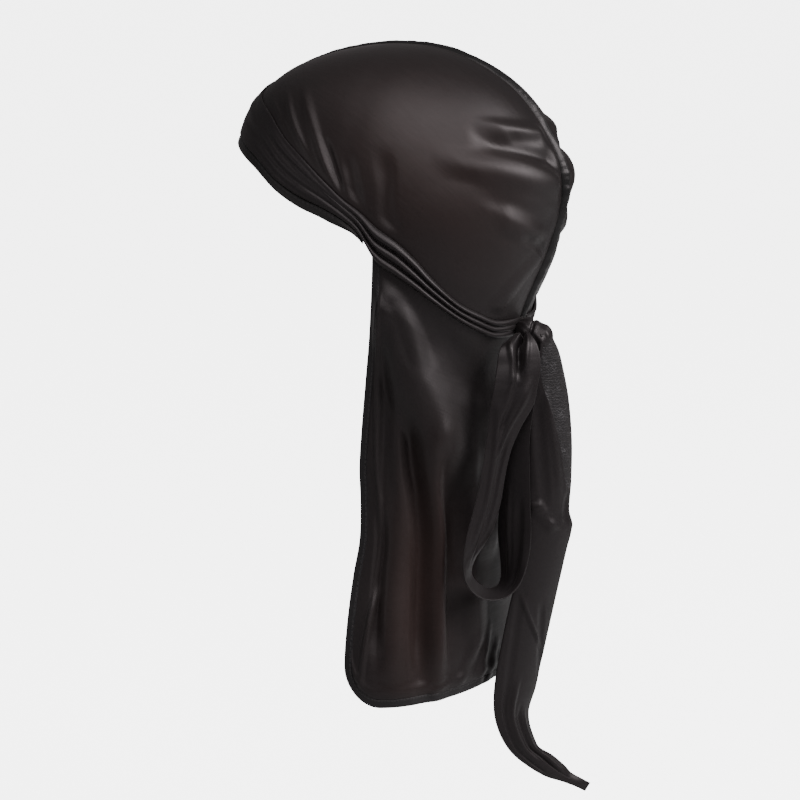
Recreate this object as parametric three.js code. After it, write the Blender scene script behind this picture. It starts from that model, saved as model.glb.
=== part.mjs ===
// A satin durag in the form it takes on a head: two crown halves with a raised seam,
// a stitched front hem, two wide ties drawn to a knot at the nape, a hanging loop and
// tail of tie, and a hemmed flap over the neck. Millimetres, +Z up, the wearer faces -Y.
// The origin is the middle of the head at the height of the ear tops.
import * as THREE from 'three'

// Head hollow that the cloth lies on
const HEAD_FRONT = 98
const HEAD_TOP = 104
const HEAD_BACK = 110
const HEAD_DROP = 150
const HEAD_HALF_WIDTH = 77

// Cloth and clearances
const CLOTH = 1.2
const HEM_THICKNESS = 2.2
const GAP = 0.3
const LAYER_GAP = 0.5

// Ties round the head
const BROW_HEIGHT = 67
const NAPE_DROP = 60
const BAND_WIDTH = 24
const PLEAT_DEPTH = 3
const PLEATS = 3
const FRONT_HEM_WIDTH = 6
const HEM_END_AZIMUTH = 101
const BAND_END_AZIMUTH = 171

// Crown
const CROWN_FOLD_DEPTH = 4
const SEAM_WIDTH = 8
const SEAM_HEIGHT = 2.4

// Neck flap
const FLAP_DROP = 281
const FLAP_HALF_WIDTH = 92
const FLAP_BACK = 71
const FLAP_SIDE_Y = 10
const FLAP_CORNER = 26
const FLAP_HEM_WIDTH = 6
const FLAP_EDGE_AZIMUTH = 105
const FLAP_FOLD_DEPTH = 9

// Knot, loop and tail
const KNOT_WIDTH = 23
const KNOT_DEPTH = 17
const KNOT_HEIGHT = 20
const LOOP_DROP = 160
const LOOP_REACH = 30
const TAIL_DROP = 290
const TAIL_REACH = 34
const TIE_WIDTH = 30

// Small mathematics
const radians = (degrees) => degrees * Math.PI / 180
const degrees = (angle) => angle * 180 / Math.PI
const mix = (from, to, share) => from + (to - from) * share
const clamp01 = (value) => Math.min(1, Math.max(0, value))

function smooth(from, to, value) {
  const share = clamp01((value - from) / (to - from))
  return share * share * (3 - 2 * share)
}

// A table gives its column names once; each row becomes an object with those names
function table(names, rows) {
  const columns = names.split(' ')
  return rows.map((row) => Object.fromEntries(columns.map((name, i) => [name, row[i]])))
}

// A smooth curve through the rows of a table, read at any value of its first column
function curve(names, rows) {
  const records = table(names, rows)
  const [at, ...values] = names.split(' ')
  const slope = (i, name) => {
    const before = records[Math.max(0, i - 1)]
    const after = records[Math.min(records.length - 1, i + 1)]
    return (after[name] - before[name]) / (after[at] - before[at])
  }
  return (place) => {
    const held = Math.min(records.at(-1)[at], Math.max(records[0][at], place))
    let i = 0
    while (i < records.length - 2 && held > records[i + 1][at]) i += 1
    const step = records[i + 1][at] - records[i][at]
    const s = (held - records[i][at]) / step
    const result = {}
    for (const name of values) {
      const start = (1 + 2 * s) * (1 - s) ** 2 * records[i][name] + s * (1 - s) ** 2 * step * slope(i, name)
      const end = (3 - 2 * s) * s ** 2 * records[i + 1][name] - (1 - s) * s ** 2 * step * slope(i + 1, name)
      result[name] = start + end
    }
    return result
  }
}

// The head: an egg whose outline over the middle is a share of an ellipse at each angle,
// 0 at the front, 90 at the top and 180 at the back, and whose sides are a squared oval
const headOutline = curve('angle reach squareness', [
  [0, 0.97, 2.5],
  [14, 1.0, 2.5],
  [27, 1.045, 2.5],
  [40, 1.055, 2.45],
  [54, 1.03, 2.4],
  [66, 1.01, 2.35],
  [78, 0.99, 2.3],
  [92, 0.99, 2.25],
  [105, 1.007, 2.2],
  [120, 1.02, 2.1],
  [135, 1.031, 2.0],
  [150, 1.028, 1.95],
  [160, 1.027, 1.95],
  [170, 0.993, 2.0],
  [180, 0.942, 2.05],
  [192, 0.887, 2.05],
  [200, 0.855, 2.1],
  [212, 0.83, 2.15],
  [230, 0.86, 2.2],
  [270, 0.93, 2.3],
])

function headReach(direction) {
  const angle = Math.atan2(direction.z, -direction.y)
  const turned = degrees(angle) < -90 ? degrees(angle) + 360 : degrees(angle)
  const outline = headOutline(turned)
  const length = Math.cos(angle) > 0 ? HEAD_FRONT : HEAD_BACK
  const height = Math.sin(angle) > 0 ? HEAD_TOP : HEAD_DROP
  const middle = outline.reach / Math.hypot(Math.cos(angle) / length, Math.sin(angle) / height)
  const along = Math.hypot(direction.y, direction.z) / middle
  const across = Math.abs(direction.x) / HEAD_HALF_WIDTH
  return (along ** outline.squareness + across ** outline.squareness) ** (-1 / outline.squareness)
}

const onHead = (direction) => direction.clone().normalize().multiplyScalar(headReach(direction.clone().normalize()))

// The head's surface at an azimuth from the front and a height
function headAt(azimuth, height) {
  const turn = radians(azimuth)
  let near = 10
  let far = 170
  while (far - near > 1e-4) {
    const middle = (near + far) / 2
    const point = new THREE.Vector3(middle * Math.sin(turn), -middle * Math.cos(turn), height)
    if (point.length() < headReach(point.clone().normalize())) near = middle
    else far = middle
  }
  return new THREE.Vector3(near * Math.sin(turn), -near * Math.cos(turn), height)
}

function headNormal(point) {
  const depth = (p) => p.length() / headReach(p.clone().normalize())
  const step = 0.05
  const slope = [0, 1, 2].map((axis) => {
    const before = point.clone().setComponent(axis, point.getComponent(axis) - step)
    const after = point.clone().setComponent(axis, point.getComponent(axis) + step)
    return depth(after) - depth(before)
  })
  return new THREE.Vector3(...slope).normalize()
}

const azimuthOf = (point) => Math.abs(degrees(Math.atan2(point.x, -point.y)))

// The line that the ties take round the head: its height as a share of the way from the
// nape to the brow, its width as a share of BAND_WIDTH and its three pleats' depth
const bandLine = curve('azimuth height width pleat', [
  [0, 1.0, 1.1, 0],
  [27, 0.95, 0.96, 0],
  [46, 0.88, 0.98, 0.05],
  [60, 0.78, 0.99, 0.1],
  [71, 0.71, 0.89, 0.15],
  [82, 0.645, 0.65, 0.2],
  [92, 0.58, 0.5, 0.3],
  [100, 0.52, 0.56, 0.6],
  [107, 0.43, 0.84, 1.0],
  [116, 0.36, 0.87, 1.0],
  [123, 0.295, 0.76, 1.0],
  [130, 0.22, 0.6, 0.9],
  [140, 0.125, 0.46, 0.7],
  [150, 0.06, 0.46, 0.6],
  [160, 0.015, 0.46, 0.6],
  [180, 0, 0.5, 0.6],
])

function bandAt(azimuth) {
  const line = bandLine(azimuth)
  const middle = mix(-NAPE_DROP, BROW_HEIGHT, line.height)
  const half = line.width * BAND_WIDTH / 2
  return { low: middle - half, middle, high: middle + half, pleat: line.pleat * PLEAT_DEPTH }
}

// The crown ends just above the front hem, and behind the ear under the middle of the tie
const EDGE_LIFTS_AZIMUTH = 93
const EDGE_HIDDEN_AZIMUTH = 104
function crownEdge(azimuth) {
  const band = bandAt(azimuth)
  return mix(band.low, band.middle, smooth(EDGE_LIFTS_AZIMUTH, EDGE_HIDDEN_AZIMUTH, azimuth))
}

// Folds are ridges or dents along bowed lines in a pair of surface shares
function foldHeight(folds, u, v, uLength, vLength, depth) {
  let height = 0
  for (const fold of folds) {
    const du = (fold.u1 - fold.u0) * uLength
    const dv = (fold.v1 - fold.v0) * vLength
    const length = Math.hypot(du, dv)
    const pu = (u - fold.u0) * uLength
    const pv = (v - fold.v0) * vLength
    const along = (pu * du + pv * dv) / length ** 2
    const bow = fold.bow * length * 4 * along * (1 - along)
    const aside = (pv * du - pu * dv) / length - bow
    const ends = smooth(-0.12, 0.16, along) * smooth(1.15, 0.75, along)
    const nearness = Math.max(0, 1 - (aside / (fold.width * vLength)) ** 2)
    height += fold.height * depth * ends * nearness ** 2
  }
  return height
}

// A wall of cloth between an outer and an inner grid of points, closed round its four sides
function sheetGeometry(outer, inner, columns, rows) {
  const points = []
  const faces = []
  const index = (side, i, j) => side * (columns + 1) * (rows + 1) + i * (rows + 1) + j
  for (const surface of [outer, inner]) {
    for (let i = 0; i <= columns; i += 1) {
      for (let j = 0; j <= rows; j += 1) points.push(surface(i, j))
    }
  }
  const quad = (a, b, c, d) => faces.push(a, b, c, a, c, d)
  for (let i = 0; i < columns; i += 1) {
    for (let j = 0; j < rows; j += 1) {
      quad(index(0, i, j), index(0, i + 1, j), index(0, i + 1, j + 1), index(0, i, j + 1))
      quad(index(1, i, j), index(1, i, j + 1), index(1, i + 1, j + 1), index(1, i + 1, j))
    }
  }
  for (let i = 0; i < columns; i += 1) {
    quad(index(0, i, 0), index(1, i, 0), index(1, i + 1, 0), index(0, i + 1, 0))
    quad(index(0, i + 1, rows), index(1, i + 1, rows), index(1, i, rows), index(0, i, rows))
  }
  for (let j = 0; j < rows; j += 1) {
    quad(index(0, 0, j + 1), index(1, 0, j + 1), index(1, 0, j), index(0, 0, j))
    quad(index(0, columns, j), index(1, columns, j), index(1, columns, j + 1), index(0, columns, j + 1))
  }
  return closedGeometry(points, faces)
}

// Faces are turned to point outwards whichever way the rows of points run
function closedGeometry(points, faces) {
  let volume = 0
  for (let i = 0; i < faces.length; i += 3) {
    const [a, b, c] = [points[faces[i]], points[faces[i + 1]], points[faces[i + 2]]]
    volume += a.dot(b.clone().cross(c)) / 6
  }
  if (volume < 0) {
    for (let i = 0; i < faces.length; i += 3) [faces[i], faces[i + 1]] = [faces[i + 1], faces[i]]
  }
  const geometry = new THREE.BufferGeometry()
  geometry.setAttribute('position', new THREE.Float32BufferAttribute(points.flatMap((p) => p.toArray()), 3))
  geometry.setIndex(faces)
  geometry.computeVertexNormals()
  return geometry
}

// Cloth laid on the head at a height above it, its thickness along the head's normal
function laidCloth(pointAt, above, thickness, columns, rows) {
  const grid = []
  for (let i = 0; i <= columns; i += 1) {
    grid.push([])
    for (let j = 0; j <= rows; j += 1) {
      const point = pointAt(i / columns, j / rows)
      const normal = headNormal(point)
      const lift = above(i / columns, j / rows, point)
      grid[i].push({ point, normal, lift })
    }
  }
  const layer = (extra) => (i, j) => {
    const { point, normal, lift } = grid[i][j]
    return point.clone().addScaledVector(normal, lift + extra)
  }
  return sheetGeometry(layer(thickness), layer(0), columns, rows)
}

function mirrored(geometry) {
  const copy = geometry.clone()
  copy.scale(-1, 1, 1)
  const faces = Array.from(copy.index.array)
  for (let i = 0; i < faces.length; i += 3) [faces[i], faces[i + 1]] = [faces[i + 1], faces[i]]
  copy.setIndex(faces)
  copy.computeVertexNormals()
  return copy
}

const satin = (color, roughness) => new THREE.MeshStandardMaterial({ color, roughness, metalness: 0 })

const durag = new THREE.Group()

function addPiece(name, geometry, material) {
  const mesh = new THREE.Mesh(geometry, material)
  mesh.name = name
  durag.add(mesh)
}

// Crown halves: columns run from the front edge up over the side to the middle seam
const CROWN_LENGTH = Math.PI * (HEAD_FRONT + HEAD_BACK) / 2
const CROWN_RISE = HEAD_TOP + HEAD_HALF_WIDTH / 2
const CROWN_ROWS = 11
const CROWN_COLUMNS = 34
const CROWN_EDGE_SHARE = 1 / 11
const CROWN_START_AZIMUTH = 2
const CROWN_END_AZIMUTH = 178
const crownFolds = table('u0 v0 u1 v1 bow width height', [
  [0.48, 0.07, 0.315, 0.34, 0.05, 0.05, 0.9],
  [0.42, 0.07, 0.285, 0.25, 0.03, 0.045, 0.75],
  [0.375, 0.06, 0.25, 0.15, 0, 0.04, 0.6],
  [0.5, 0.06, 0.4, 0.225, 0, 0.03, -0.5],
  [0.395, 0.065, 0.3, 0.13, 0, 0.022, -0.35],
  [0.54, 0.16, 0.495, 0.24, 0, 0.035, 0.35],
  [0.525, 0.12, 0.485, 0.2, 0, 0.025, -0.3],
  [0.57, 0.17, 0.51, 0.3, 0, 0.03, -0.25],
  [0.575, 0.7, 0.645, 0.93, -0.04, 0.03, 0.8],
  [0.59, 0.7, 0.66, 0.86, 0, 0.025, 0.4],
  [0.585, 0.66, 0.71, 0.92, 0, 0.04, -0.75],
  [0.575, 0.59, 0.735, 0.97, -0.05, 0.05, 0.75],
  [0.6, 0.5, 0.78, 0.9, -0.05, 0.06, -0.45],
  [0.86, 0.12, 0.82, 0.9, 0.04, 0.08, 0.3],
])

// Columns stand closer where the pleats and folds are. Of the rows the first runs from the
// edge to the top of the ties, the last under the middle seam, the rest evenly between them
const crownColumns = curve('column u', [
  [0, 0],
  [0.16, 0.2],
  [0.32, 0.34],
  [0.48, 0.48],
  [0.6, 0.59],
  [0.8, 0.75],
  [1, 1],
])

function crownPoint(u, v) {
  const azimuth = mix(CROWN_START_AZIMUTH, CROWN_END_AZIMUTH, u)
  const low = headAt(azimuth, crownEdge(azimuth) + GAP)
  const front = headAt(0, crownEdge(0) + GAP)
  const back = headAt(180, crownEdge(180) + GAP)
  const frontAngle = Math.atan2(front.z, -front.y)
  const backAngle = Math.atan2(back.z, -back.y) + 2 * Math.PI
  const angle = mix(frontAngle, backAngle, u)
  const high = onHead(new THREE.Vector3(0, -Math.cos(angle), Math.sin(angle)))
  const spread = low.angleTo(high)
  const turnedBy = (angleUp) => {
    const direction = low.clone().normalize().multiplyScalar(Math.sin(spread - angleUp))
    return onHead(direction.addScaledVector(high.clone().normalize(), Math.sin(angleUp)))
  }
  const covered = (angleUp) => {
    const point = turnedBy(angleUp)
    return point.z < bandAt(azimuthOf(point)).high + CLOTH
  }
  let underBand = 0
  while (underBand < 0.4 * spread && covered(underBand)) underBand += spread / 80
  const underSeam = Math.min(0.3 * spread, (SEAM_WIDTH / 2 + LAYER_GAP) / high.length())
  const seamShare = 1 - CROWN_EDGE_SHARE
  const free = mix(underBand, spread - underSeam, (v - CROWN_EDGE_SHARE) / (seamShare - CROWN_EDGE_SHARE))
  const first = underBand * v / CROWN_EDGE_SHARE
  const last = mix(spread - underSeam, spread, (v - seamShare) / CROWN_EDGE_SHARE)
  const point = turnedBy(v < CROWN_EDGE_SHARE ? first : v > seamShare ? last : free)
  point.x += GAP / 2
  return point
}

const crownColumnPoint = (column, v) => crownPoint(crownColumns(column).u, v)

function crownLift(column, v, point) {
  const { u } = crownColumns(column)
  const clearOfBand = smooth(CLOTH, 9, point.z - bandAt(azimuthOf(point)).high)
  const clearOfSeam = smooth(SEAM_WIDTH / 2 + LAYER_GAP, SEAM_WIDTH / 2 + 8, point.x)
  const relief = foldHeight(crownFolds, u, v, CROWN_LENGTH, CROWN_RISE, CROWN_FOLD_DEPTH)
  return relief * clearOfBand * clearOfSeam
}

const crown = laidCloth(crownColumnPoint, crownLift, CLOTH, CROWN_COLUMNS, CROWN_ROWS)
addPiece('crown_left', crown, satin(0x1b181a, 0.42))
addPiece('crown_right', mirrored(crown), satin(0x1b181a, 0.42))

// Middle seam: a puckered roll on top of both halves, from the ties in front to the nape
function ringGeometry(rings) {
  const sides = rings[0].length
  const points = rings.flat()
  const faces = []
  for (let i = 0; i < rings.length - 1; i += 1) {
    for (let j = 0; j < sides; j += 1) {
      const [a, b] = [i * sides + j, i * sides + (j + 1) % sides]
      faces.push(a, b, b + sides, a, b + sides, a + sides)
    }
  }
  const last = (rings.length - 1) * sides
  for (let j = 1; j < sides - 1; j += 1) {
    faces.push(0, j + 1, j)
    faces.push(last, last + j, last + j + 1)
  }
  return closedGeometry(points, faces)
}

const seamSection = table('across up', [
  [-0.5, 0],
  [-0.42, 0.45],
  [-0.14, 1],
  [0.14, 1],
  [0.42, 0.45],
  [0.5, 0],
])
const seamPuckers = curve('share height', [
  [0, 0.7],
  [0.2, 0.8],
  [0.35, 0.75],
  [0.5, 0.95],
  [0.56, 1.05],
  [0.61, 0.75],
  [0.66, 1.3],
  [0.7, 1.75],
  [0.73, 1.5],
  [0.78, 1.0],
  [0.86, 1.05],
  [1, 0.8],
])

function seamGeometry(steps) {
  const front = headAt(0, bandAt(0).high + GAP + LAYER_GAP)
  const back = headAt(180, bandAt(180).high + GAP + LAYER_GAP)
  const frontAngle = Math.atan2(front.z, -front.y)
  const backAngle = Math.atan2(back.z, -back.y) + 2 * Math.PI
  const rings = []
  for (let i = 0; i <= steps; i += 1) {
    const angle = mix(frontAngle, backAngle, i / steps)
    const height = SEAM_HEIGHT * seamPuckers(i / steps).height
    rings.push(seamSection.map(({ across, up }) => {
      const middle = onHead(new THREE.Vector3(0, -Math.cos(angle), Math.sin(angle)))
      const normal = headNormal(middle)
      const beside = across * SEAM_WIDTH
      const point = onHead(middle.clone().setX(beside))
      return point.addScaledVector(normal, CLOTH + LAYER_GAP + up * height)
    }))
  }
  return ringGeometry(rings)
}

addPiece('center_seam', seamGeometry(42), satin(0x161416, 0.5))

// Front hem: a double fold of cloth round the face, just below the edge of the ties
function frontHemGeometry(steps) {
  const rings = []
  for (let i = 0; i <= steps; i += 1) {
    const azimuth = mix(-HEM_END_AZIMUTH, HEM_END_AZIMUTH, i / steps)
    const beside = Math.abs(azimuth)
    const high = Math.min(bandAt(beside).low, crownEdge(beside)) - GAP
    const taper = mix(1, 0.45, smooth(85, HEM_END_AZIMUTH, beside))
    const low = high - FRONT_HEM_WIDTH * taper
    const place = (height, up) => {
      const point = headAt(azimuth, height)
      return point.addScaledVector(headNormal(point), up)
    }
    const round = HEM_THICKNESS * 0.3
    rings.push([
      place(high, 0),
      place(high, CLOTH),
      place(mix(high, low, 0.5), HEM_THICKNESS),
      place(low + round, HEM_THICKNESS),
      place(low, HEM_THICKNESS * 0.5),
      place(low + round, 0),
    ])
  }
  return ringGeometry(rings)
}

addPiece('front_hem', frontHemGeometry(32), satin(0x141416, 0.6))

// Ties round the head: they lie over the crown's edge and the flap's top edge, with three
// pleats that open out of the flat front behind the ear
const BAND_SLENDERNESS = 2.8
const bandFolds = table('u0 v0 u1 v1 bow width height', [
  [0.1, 0.75, 0.42, 0.42, 0, 0.16, 0.3],
  [0.14, 0.35, 0.5, 0.2, 0, 0.14, 0.25],
  [0.28, 0.85, 0.56, 0.6, 0, 0.14, 0.35],
])

function bandPoint(u, v) {
  const start = degrees(Math.asin(GAP / 2 / HEAD_FRONT))
  const azimuth = mix(start, BAND_END_AZIMUTH, u)
  const band = bandAt(azimuth)
  return headAt(azimuth, mix(band.low + GAP, band.high, v))
}

function bandLift(u, v, point) {
  const pleat = bandAt(azimuthOf(point)).pleat
  const ridges = Math.abs(Math.sin(PLEATS * Math.PI * v)) ** 0.7
  const relief = foldHeight(bandFolds, u, v, BAND_SLENDERNESS, 1, PLEAT_DEPTH)
  return CLOTH + LAYER_GAP + pleat * ridges + relief
}

const band = laidCloth(bandPoint, bandLift, CLOTH, 34, 2 * PLEATS)
addPiece('tie_band_left', band, satin(0x1a1719, 0.45))
addPiece('tie_band_right', mirrored(band), satin(0x1a1719, 0.45))

// Neck flap: hangs from under the ties; its sections are half ovals round the neck, given
// at shares of the drop with the half width, the back and the sides' place as shares
const flapSections = curve('drop width back side', [
  [0.05, 0.83, 1.17, 1.95],
  [0.1, 0.81, 1.16, 1.85],
  [0.2, 0.77, 1.12, 1.65],
  [0.31, 0.76, 1.07, 1.34],
  [0.42, 0.76, 1.03, 1.06],
  [0.5, 0.76, 1.01, 0.92],
  [0.57, 0.77, 1.0, 1.03],
  [0.65, 0.8, 1.0, 1.2],
  [0.73, 0.85, 1.0, 1.15],
  [0.83, 0.95, 1.0, 0.9],
  [0.92, 1.01, 1.0, 1.0],
  [1, 1.0, 0.98, 1.2],
])
const flapFolds = table('u0 v0 u1 v1 bow width height', [
  [0.95, 0.07, 0.31, 0.48, -0.045, 0.055, 1.0],
  [0.72, 0.16, 0.25, 0.41, 0, 0.07, -0.8],
  [0.93, 0.2, 0.86, 0.62, 0, 0.025, 0.25],
  [0.87, 0.55, 0.84, 0.95, 0.03, 0.018, -0.3],
  [0.78, 0.5, 0.7, 0.98, 0, 0.03, 0.4],
  [0.64, 0.5, 0.53, 0.98, 0, 0.03, -0.5],
  [0.49, 0.8, 0.445, 1.05, 0, 0.03, 0.5],
  [0.42, 0.36, 0.42, 0.86, 0, 0.085, -0.6],
  [0.3, 0.86, 0.24, 1.03, 0, 0.02, 0.35],
  [0.14, 0.9, 0.17, 1.03, 0, 0.02, 0.3],
])
const FLAP_ARC = Math.PI / 2 * Math.hypot(FLAP_HALF_WIDTH, FLAP_BACK - FLAP_SIDE_Y) / Math.SQRT2

const FLAP_SIDE_STEPS = 22
const FLAP_CORNER_STEPS = 5
const FLAP_FOOT_STEPS = 12

// A point of the flap: turn is 0 at the middle of the back and 1 or -1 at the side edges
function flapHanging(turn, height) {
  const section = flapSections(-height / FLAP_DROP)
  const angle = turn * Math.PI / 2
  const side = section.side * FLAP_SIDE_Y
  const back = section.back * FLAP_BACK - side
  const half = section.width * FLAP_HALF_WIDTH
  return new THREE.Vector3(half * Math.sin(angle), side + back * Math.cos(angle), height)
}

function flapNormal(turn, height) {
  const step = 0.004
  const along = flapHanging(turn + step, height).sub(flapHanging(turn - step, height))
  const down = flapHanging(turn, height - 1).sub(flapHanging(turn, height + 1))
  return along.cross(down).normalize()
}

function flapAzimuth(turn) {
  return 180 - Math.abs(turn) * (180 - FLAP_EDGE_AZIMUTH)
}

// The height at which the flap comes out from under the ties
const flapEmerges = (azimuth) => bandAt(azimuth).low - 3 * LAYER_GAP

function flapSurface(turn, height) {
  const azimuth = flapAzimuth(turn)
  const below = bandAt(azimuth).low - height
  const laid = headAt(azimuth * Math.sign(turn || 1), height)
  const hanging = flapHanging(turn, height)
  const letGo = smooth(1, 46, below)
  const point = laid.clone().lerp(hanging, letGo)
  const normal = headNormal(laid).lerp(flapNormal(turn, height), letGo).normalize()
  const relief = foldHeight(flapFolds, Math.abs(turn), -height / FLAP_DROP, FLAP_ARC, FLAP_DROP, FLAP_FOLD_DEPTH)
  const free = smooth(1, 22, below) * smooth(1, 0.93, Math.abs(turn))
  const foot = mix(1, 0.45, smooth(-FLAP_DROP * 0.85, -FLAP_DROP, height))
  return { point: point.addScaledVector(normal, relief * free * foot), normal }
}

// The foot follows the rounded corners, drawn in by a margin
function flapFoot(turn, margin) {
  const fromSide = (1 - Math.abs(turn)) * FLAP_ARC - margin
  const radius = FLAP_CORNER - margin
  const reach = Math.max(0, radius - fromSide)
  const rise = reach < radius ? radius - Math.sqrt(radius ** 2 - reach ** 2) : radius
  return -FLAP_DROP + margin + rise
}

function flapTurns(margin) {
  const inner = 1 - FLAP_CORNER / FLAP_ARC
  const side = []
  for (let i = 0; i < FLAP_CORNER_STEPS; i += 1) {
    const angle = i / FLAP_CORNER_STEPS * Math.PI / 2
    side.push(inner + (FLAP_CORNER - margin) / FLAP_ARC * Math.cos(angle))
  }
  const foot = []
  for (let i = -FLAP_FOOT_STEPS; i <= FLAP_FOOT_STEPS; i += 1) foot.push(-inner * i / FLAP_FOOT_STEPS)
  return [...side, ...foot, ...side.map((turn) => -turn).reverse()]
}

function flapGeometry() {
  const margin = FLAP_HEM_WIDTH + LAYER_GAP
  const turns = flapTurns(margin)
  const grid = turns.map((turn) => {
    const azimuth = flapAzimuth(turn)
    const top = crownEdge(azimuth) - GAP
    const foot = flapFoot(turn, margin)
    const laid = (top - flapEmerges(azimuth)) / (top - foot)
    const column = []
    for (let j = 0; j <= FLAP_SIDE_STEPS + 1; j += 1) {
      const share = j === 0 ? 0 : mix(laid, 1, (j - 1) / FLAP_SIDE_STEPS)
      column.push(flapSurface(turn, mix(top, foot, share)))
    }
    return column
  })
  const layer = (lift) => (i, j) => grid[i][j].point.clone().addScaledVector(grid[i][j].normal, lift)
  return sheetGeometry(layer(CLOTH), layer(0), turns.length - 1, FLAP_SIDE_STEPS + 1)
}

addPiece('neck_flap', flapGeometry(), satin(0x1c1819, 0.42))

// Flap hem: a double fold down one side, round the corners, along the foot and up again
function flapHemRoute() {
  const route = []
  const sideFoot = -FLAP_DROP + FLAP_CORNER
  const cornerTurn = 1 - FLAP_CORNER / FLAP_ARC
  for (let i = 0; i <= FLAP_SIDE_STEPS; i += 1) {
    route.push({ turn: 1, down: i / FLAP_SIDE_STEPS, height: sideFoot, inTurn: -1, inRise: 0 })
  }
  for (let i = 1; i <= FLAP_CORNER_STEPS; i += 1) {
    const angle = i / FLAP_CORNER_STEPS * Math.PI / 2
    const turn = cornerTurn + Math.cos(angle) * FLAP_CORNER / FLAP_ARC
    const height = sideFoot - Math.sin(angle) * FLAP_CORNER
    route.push({ turn, down: 1, height, inTurn: -Math.cos(angle), inRise: Math.sin(angle) })
  }
  for (let i = 1; i <= FLAP_FOOT_STEPS; i += 1) {
    const turn = mix(cornerTurn, 0, i / FLAP_FOOT_STEPS)
    route.push({ turn, down: 1, height: -FLAP_DROP, inTurn: 0, inRise: 1 })
  }
  const back = route.slice(0, -1).reverse()
  const other = back.map((stop) => ({ ...stop, turn: -stop.turn, inTurn: -stop.inTurn }))
  return route.concat(other)
}

function flapHemGeometry() {
  const section = table('inward up', [
    [0.12, -0.5],
    [0, 0],
    [0.12, 0.5],
    [1, 0.5],
    [1, -0.5],
  ])
  const rings = flapHemRoute().map((stop) => section.map(({ inward, up }) => {
    const turn = stop.turn + stop.inTurn * inward * FLAP_HEM_WIDTH / FLAP_ARC
    const top = flapEmerges(flapAzimuth(turn))
    const height = mix(top, stop.height + stop.inRise * inward * FLAP_HEM_WIDTH, stop.down)
    const { point, normal } = flapSurface(turn, height)
    const fromTies = top - height
    const thickness = mix(CLOTH, HEM_THICKNESS, smooth(0, 2 * FLAP_HEM_WIDTH, fromTies))
    return point.addScaledVector(normal, CLOTH / 2 + up * thickness)
  }))
  return ringGeometry(rings)
}

addPiece('flap_hem', flapHemGeometry(), satin(0x131417, 0.65))

// Knot: a tight twisted wrap on the nape, over the meeting ends of the ties
const knotCenter = onHead(new THREE.Vector3(0.05, 1, -0.76))
knotCenter.addScaledVector(headNormal(knotCenter), CLOTH + LAYER_GAP + GAP + KNOT_DEPTH / 2)

function knotGeometry(turns, sides) {
  const rings = []
  for (let i = 0; i <= turns; i += 1) {
    const share = mix(0.04, 0.96, i / turns)
    const girth = Math.sin(Math.PI * share) ** 0.6
    const ring = []
    for (let j = 0; j < sides; j += 1) {
      const angle = j / sides * 2 * Math.PI
      const groove = 1 + 0.06 * Math.cos(3 * (angle + 2.2 * share))
      ring.push(new THREE.Vector3(
        knotCenter.x + KNOT_WIDTH / 2 * girth * Math.cos(angle) * groove,
        knotCenter.y + KNOT_DEPTH / 2 * girth * Math.sin(angle) * groove,
        knotCenter.z + KNOT_HEIGHT / 2 * mix(1, -1, share),
      ))
    }
    rings.push(ring)
  }
  return ringGeometry(rings)
}

addPiece('knot', knotGeometry(12, 18), satin(0x19181b, 0.5))

// Hanging ties: ribbons given by rows down their length. side and back are shares of the
// reach from the knot's middle, down of the drop and width of TIE_WIDTH; facing and tilt
// turn the width round the upright and up from level, and curl bows it by a share of itself
function ribbonGeometry(rows, reach, drop, steps, strands) {
  const read = curve('along side back down width facing tilt curl', rows)
  const middle = (row) => new THREE.Vector3(
    knotCenter.x + row.side * reach,
    knotCenter.y + row.back * reach,
    knotCenter.z - row.down * drop,
  )
  const surface = (lift) => (i, j) => {
    const row = read(i / steps)
    const across = j / strands - 0.5
    const [facing, tilt] = [radians(row.facing), radians(row.tilt)]
    const level = Math.cos(tilt)
    const broad = new THREE.Vector3(Math.cos(facing) * level, Math.sin(facing) * level, Math.sin(tilt))
    const run = middle(read((i + 0.4) / steps)).sub(middle(read((i - 0.4) / steps))).normalize()
    const normal = run.cross(broad).normalize()
    const width = row.width * TIE_WIDTH
    const bow = row.curl * width * (1 - 4 * across ** 2)
    return middle(row).addScaledVector(broad, across * width).addScaledVector(normal, bow + lift)
  }
  return sheetGeometry(surface(CLOTH / 2), surface(-CLOTH / 2), steps, strands)
}

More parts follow.
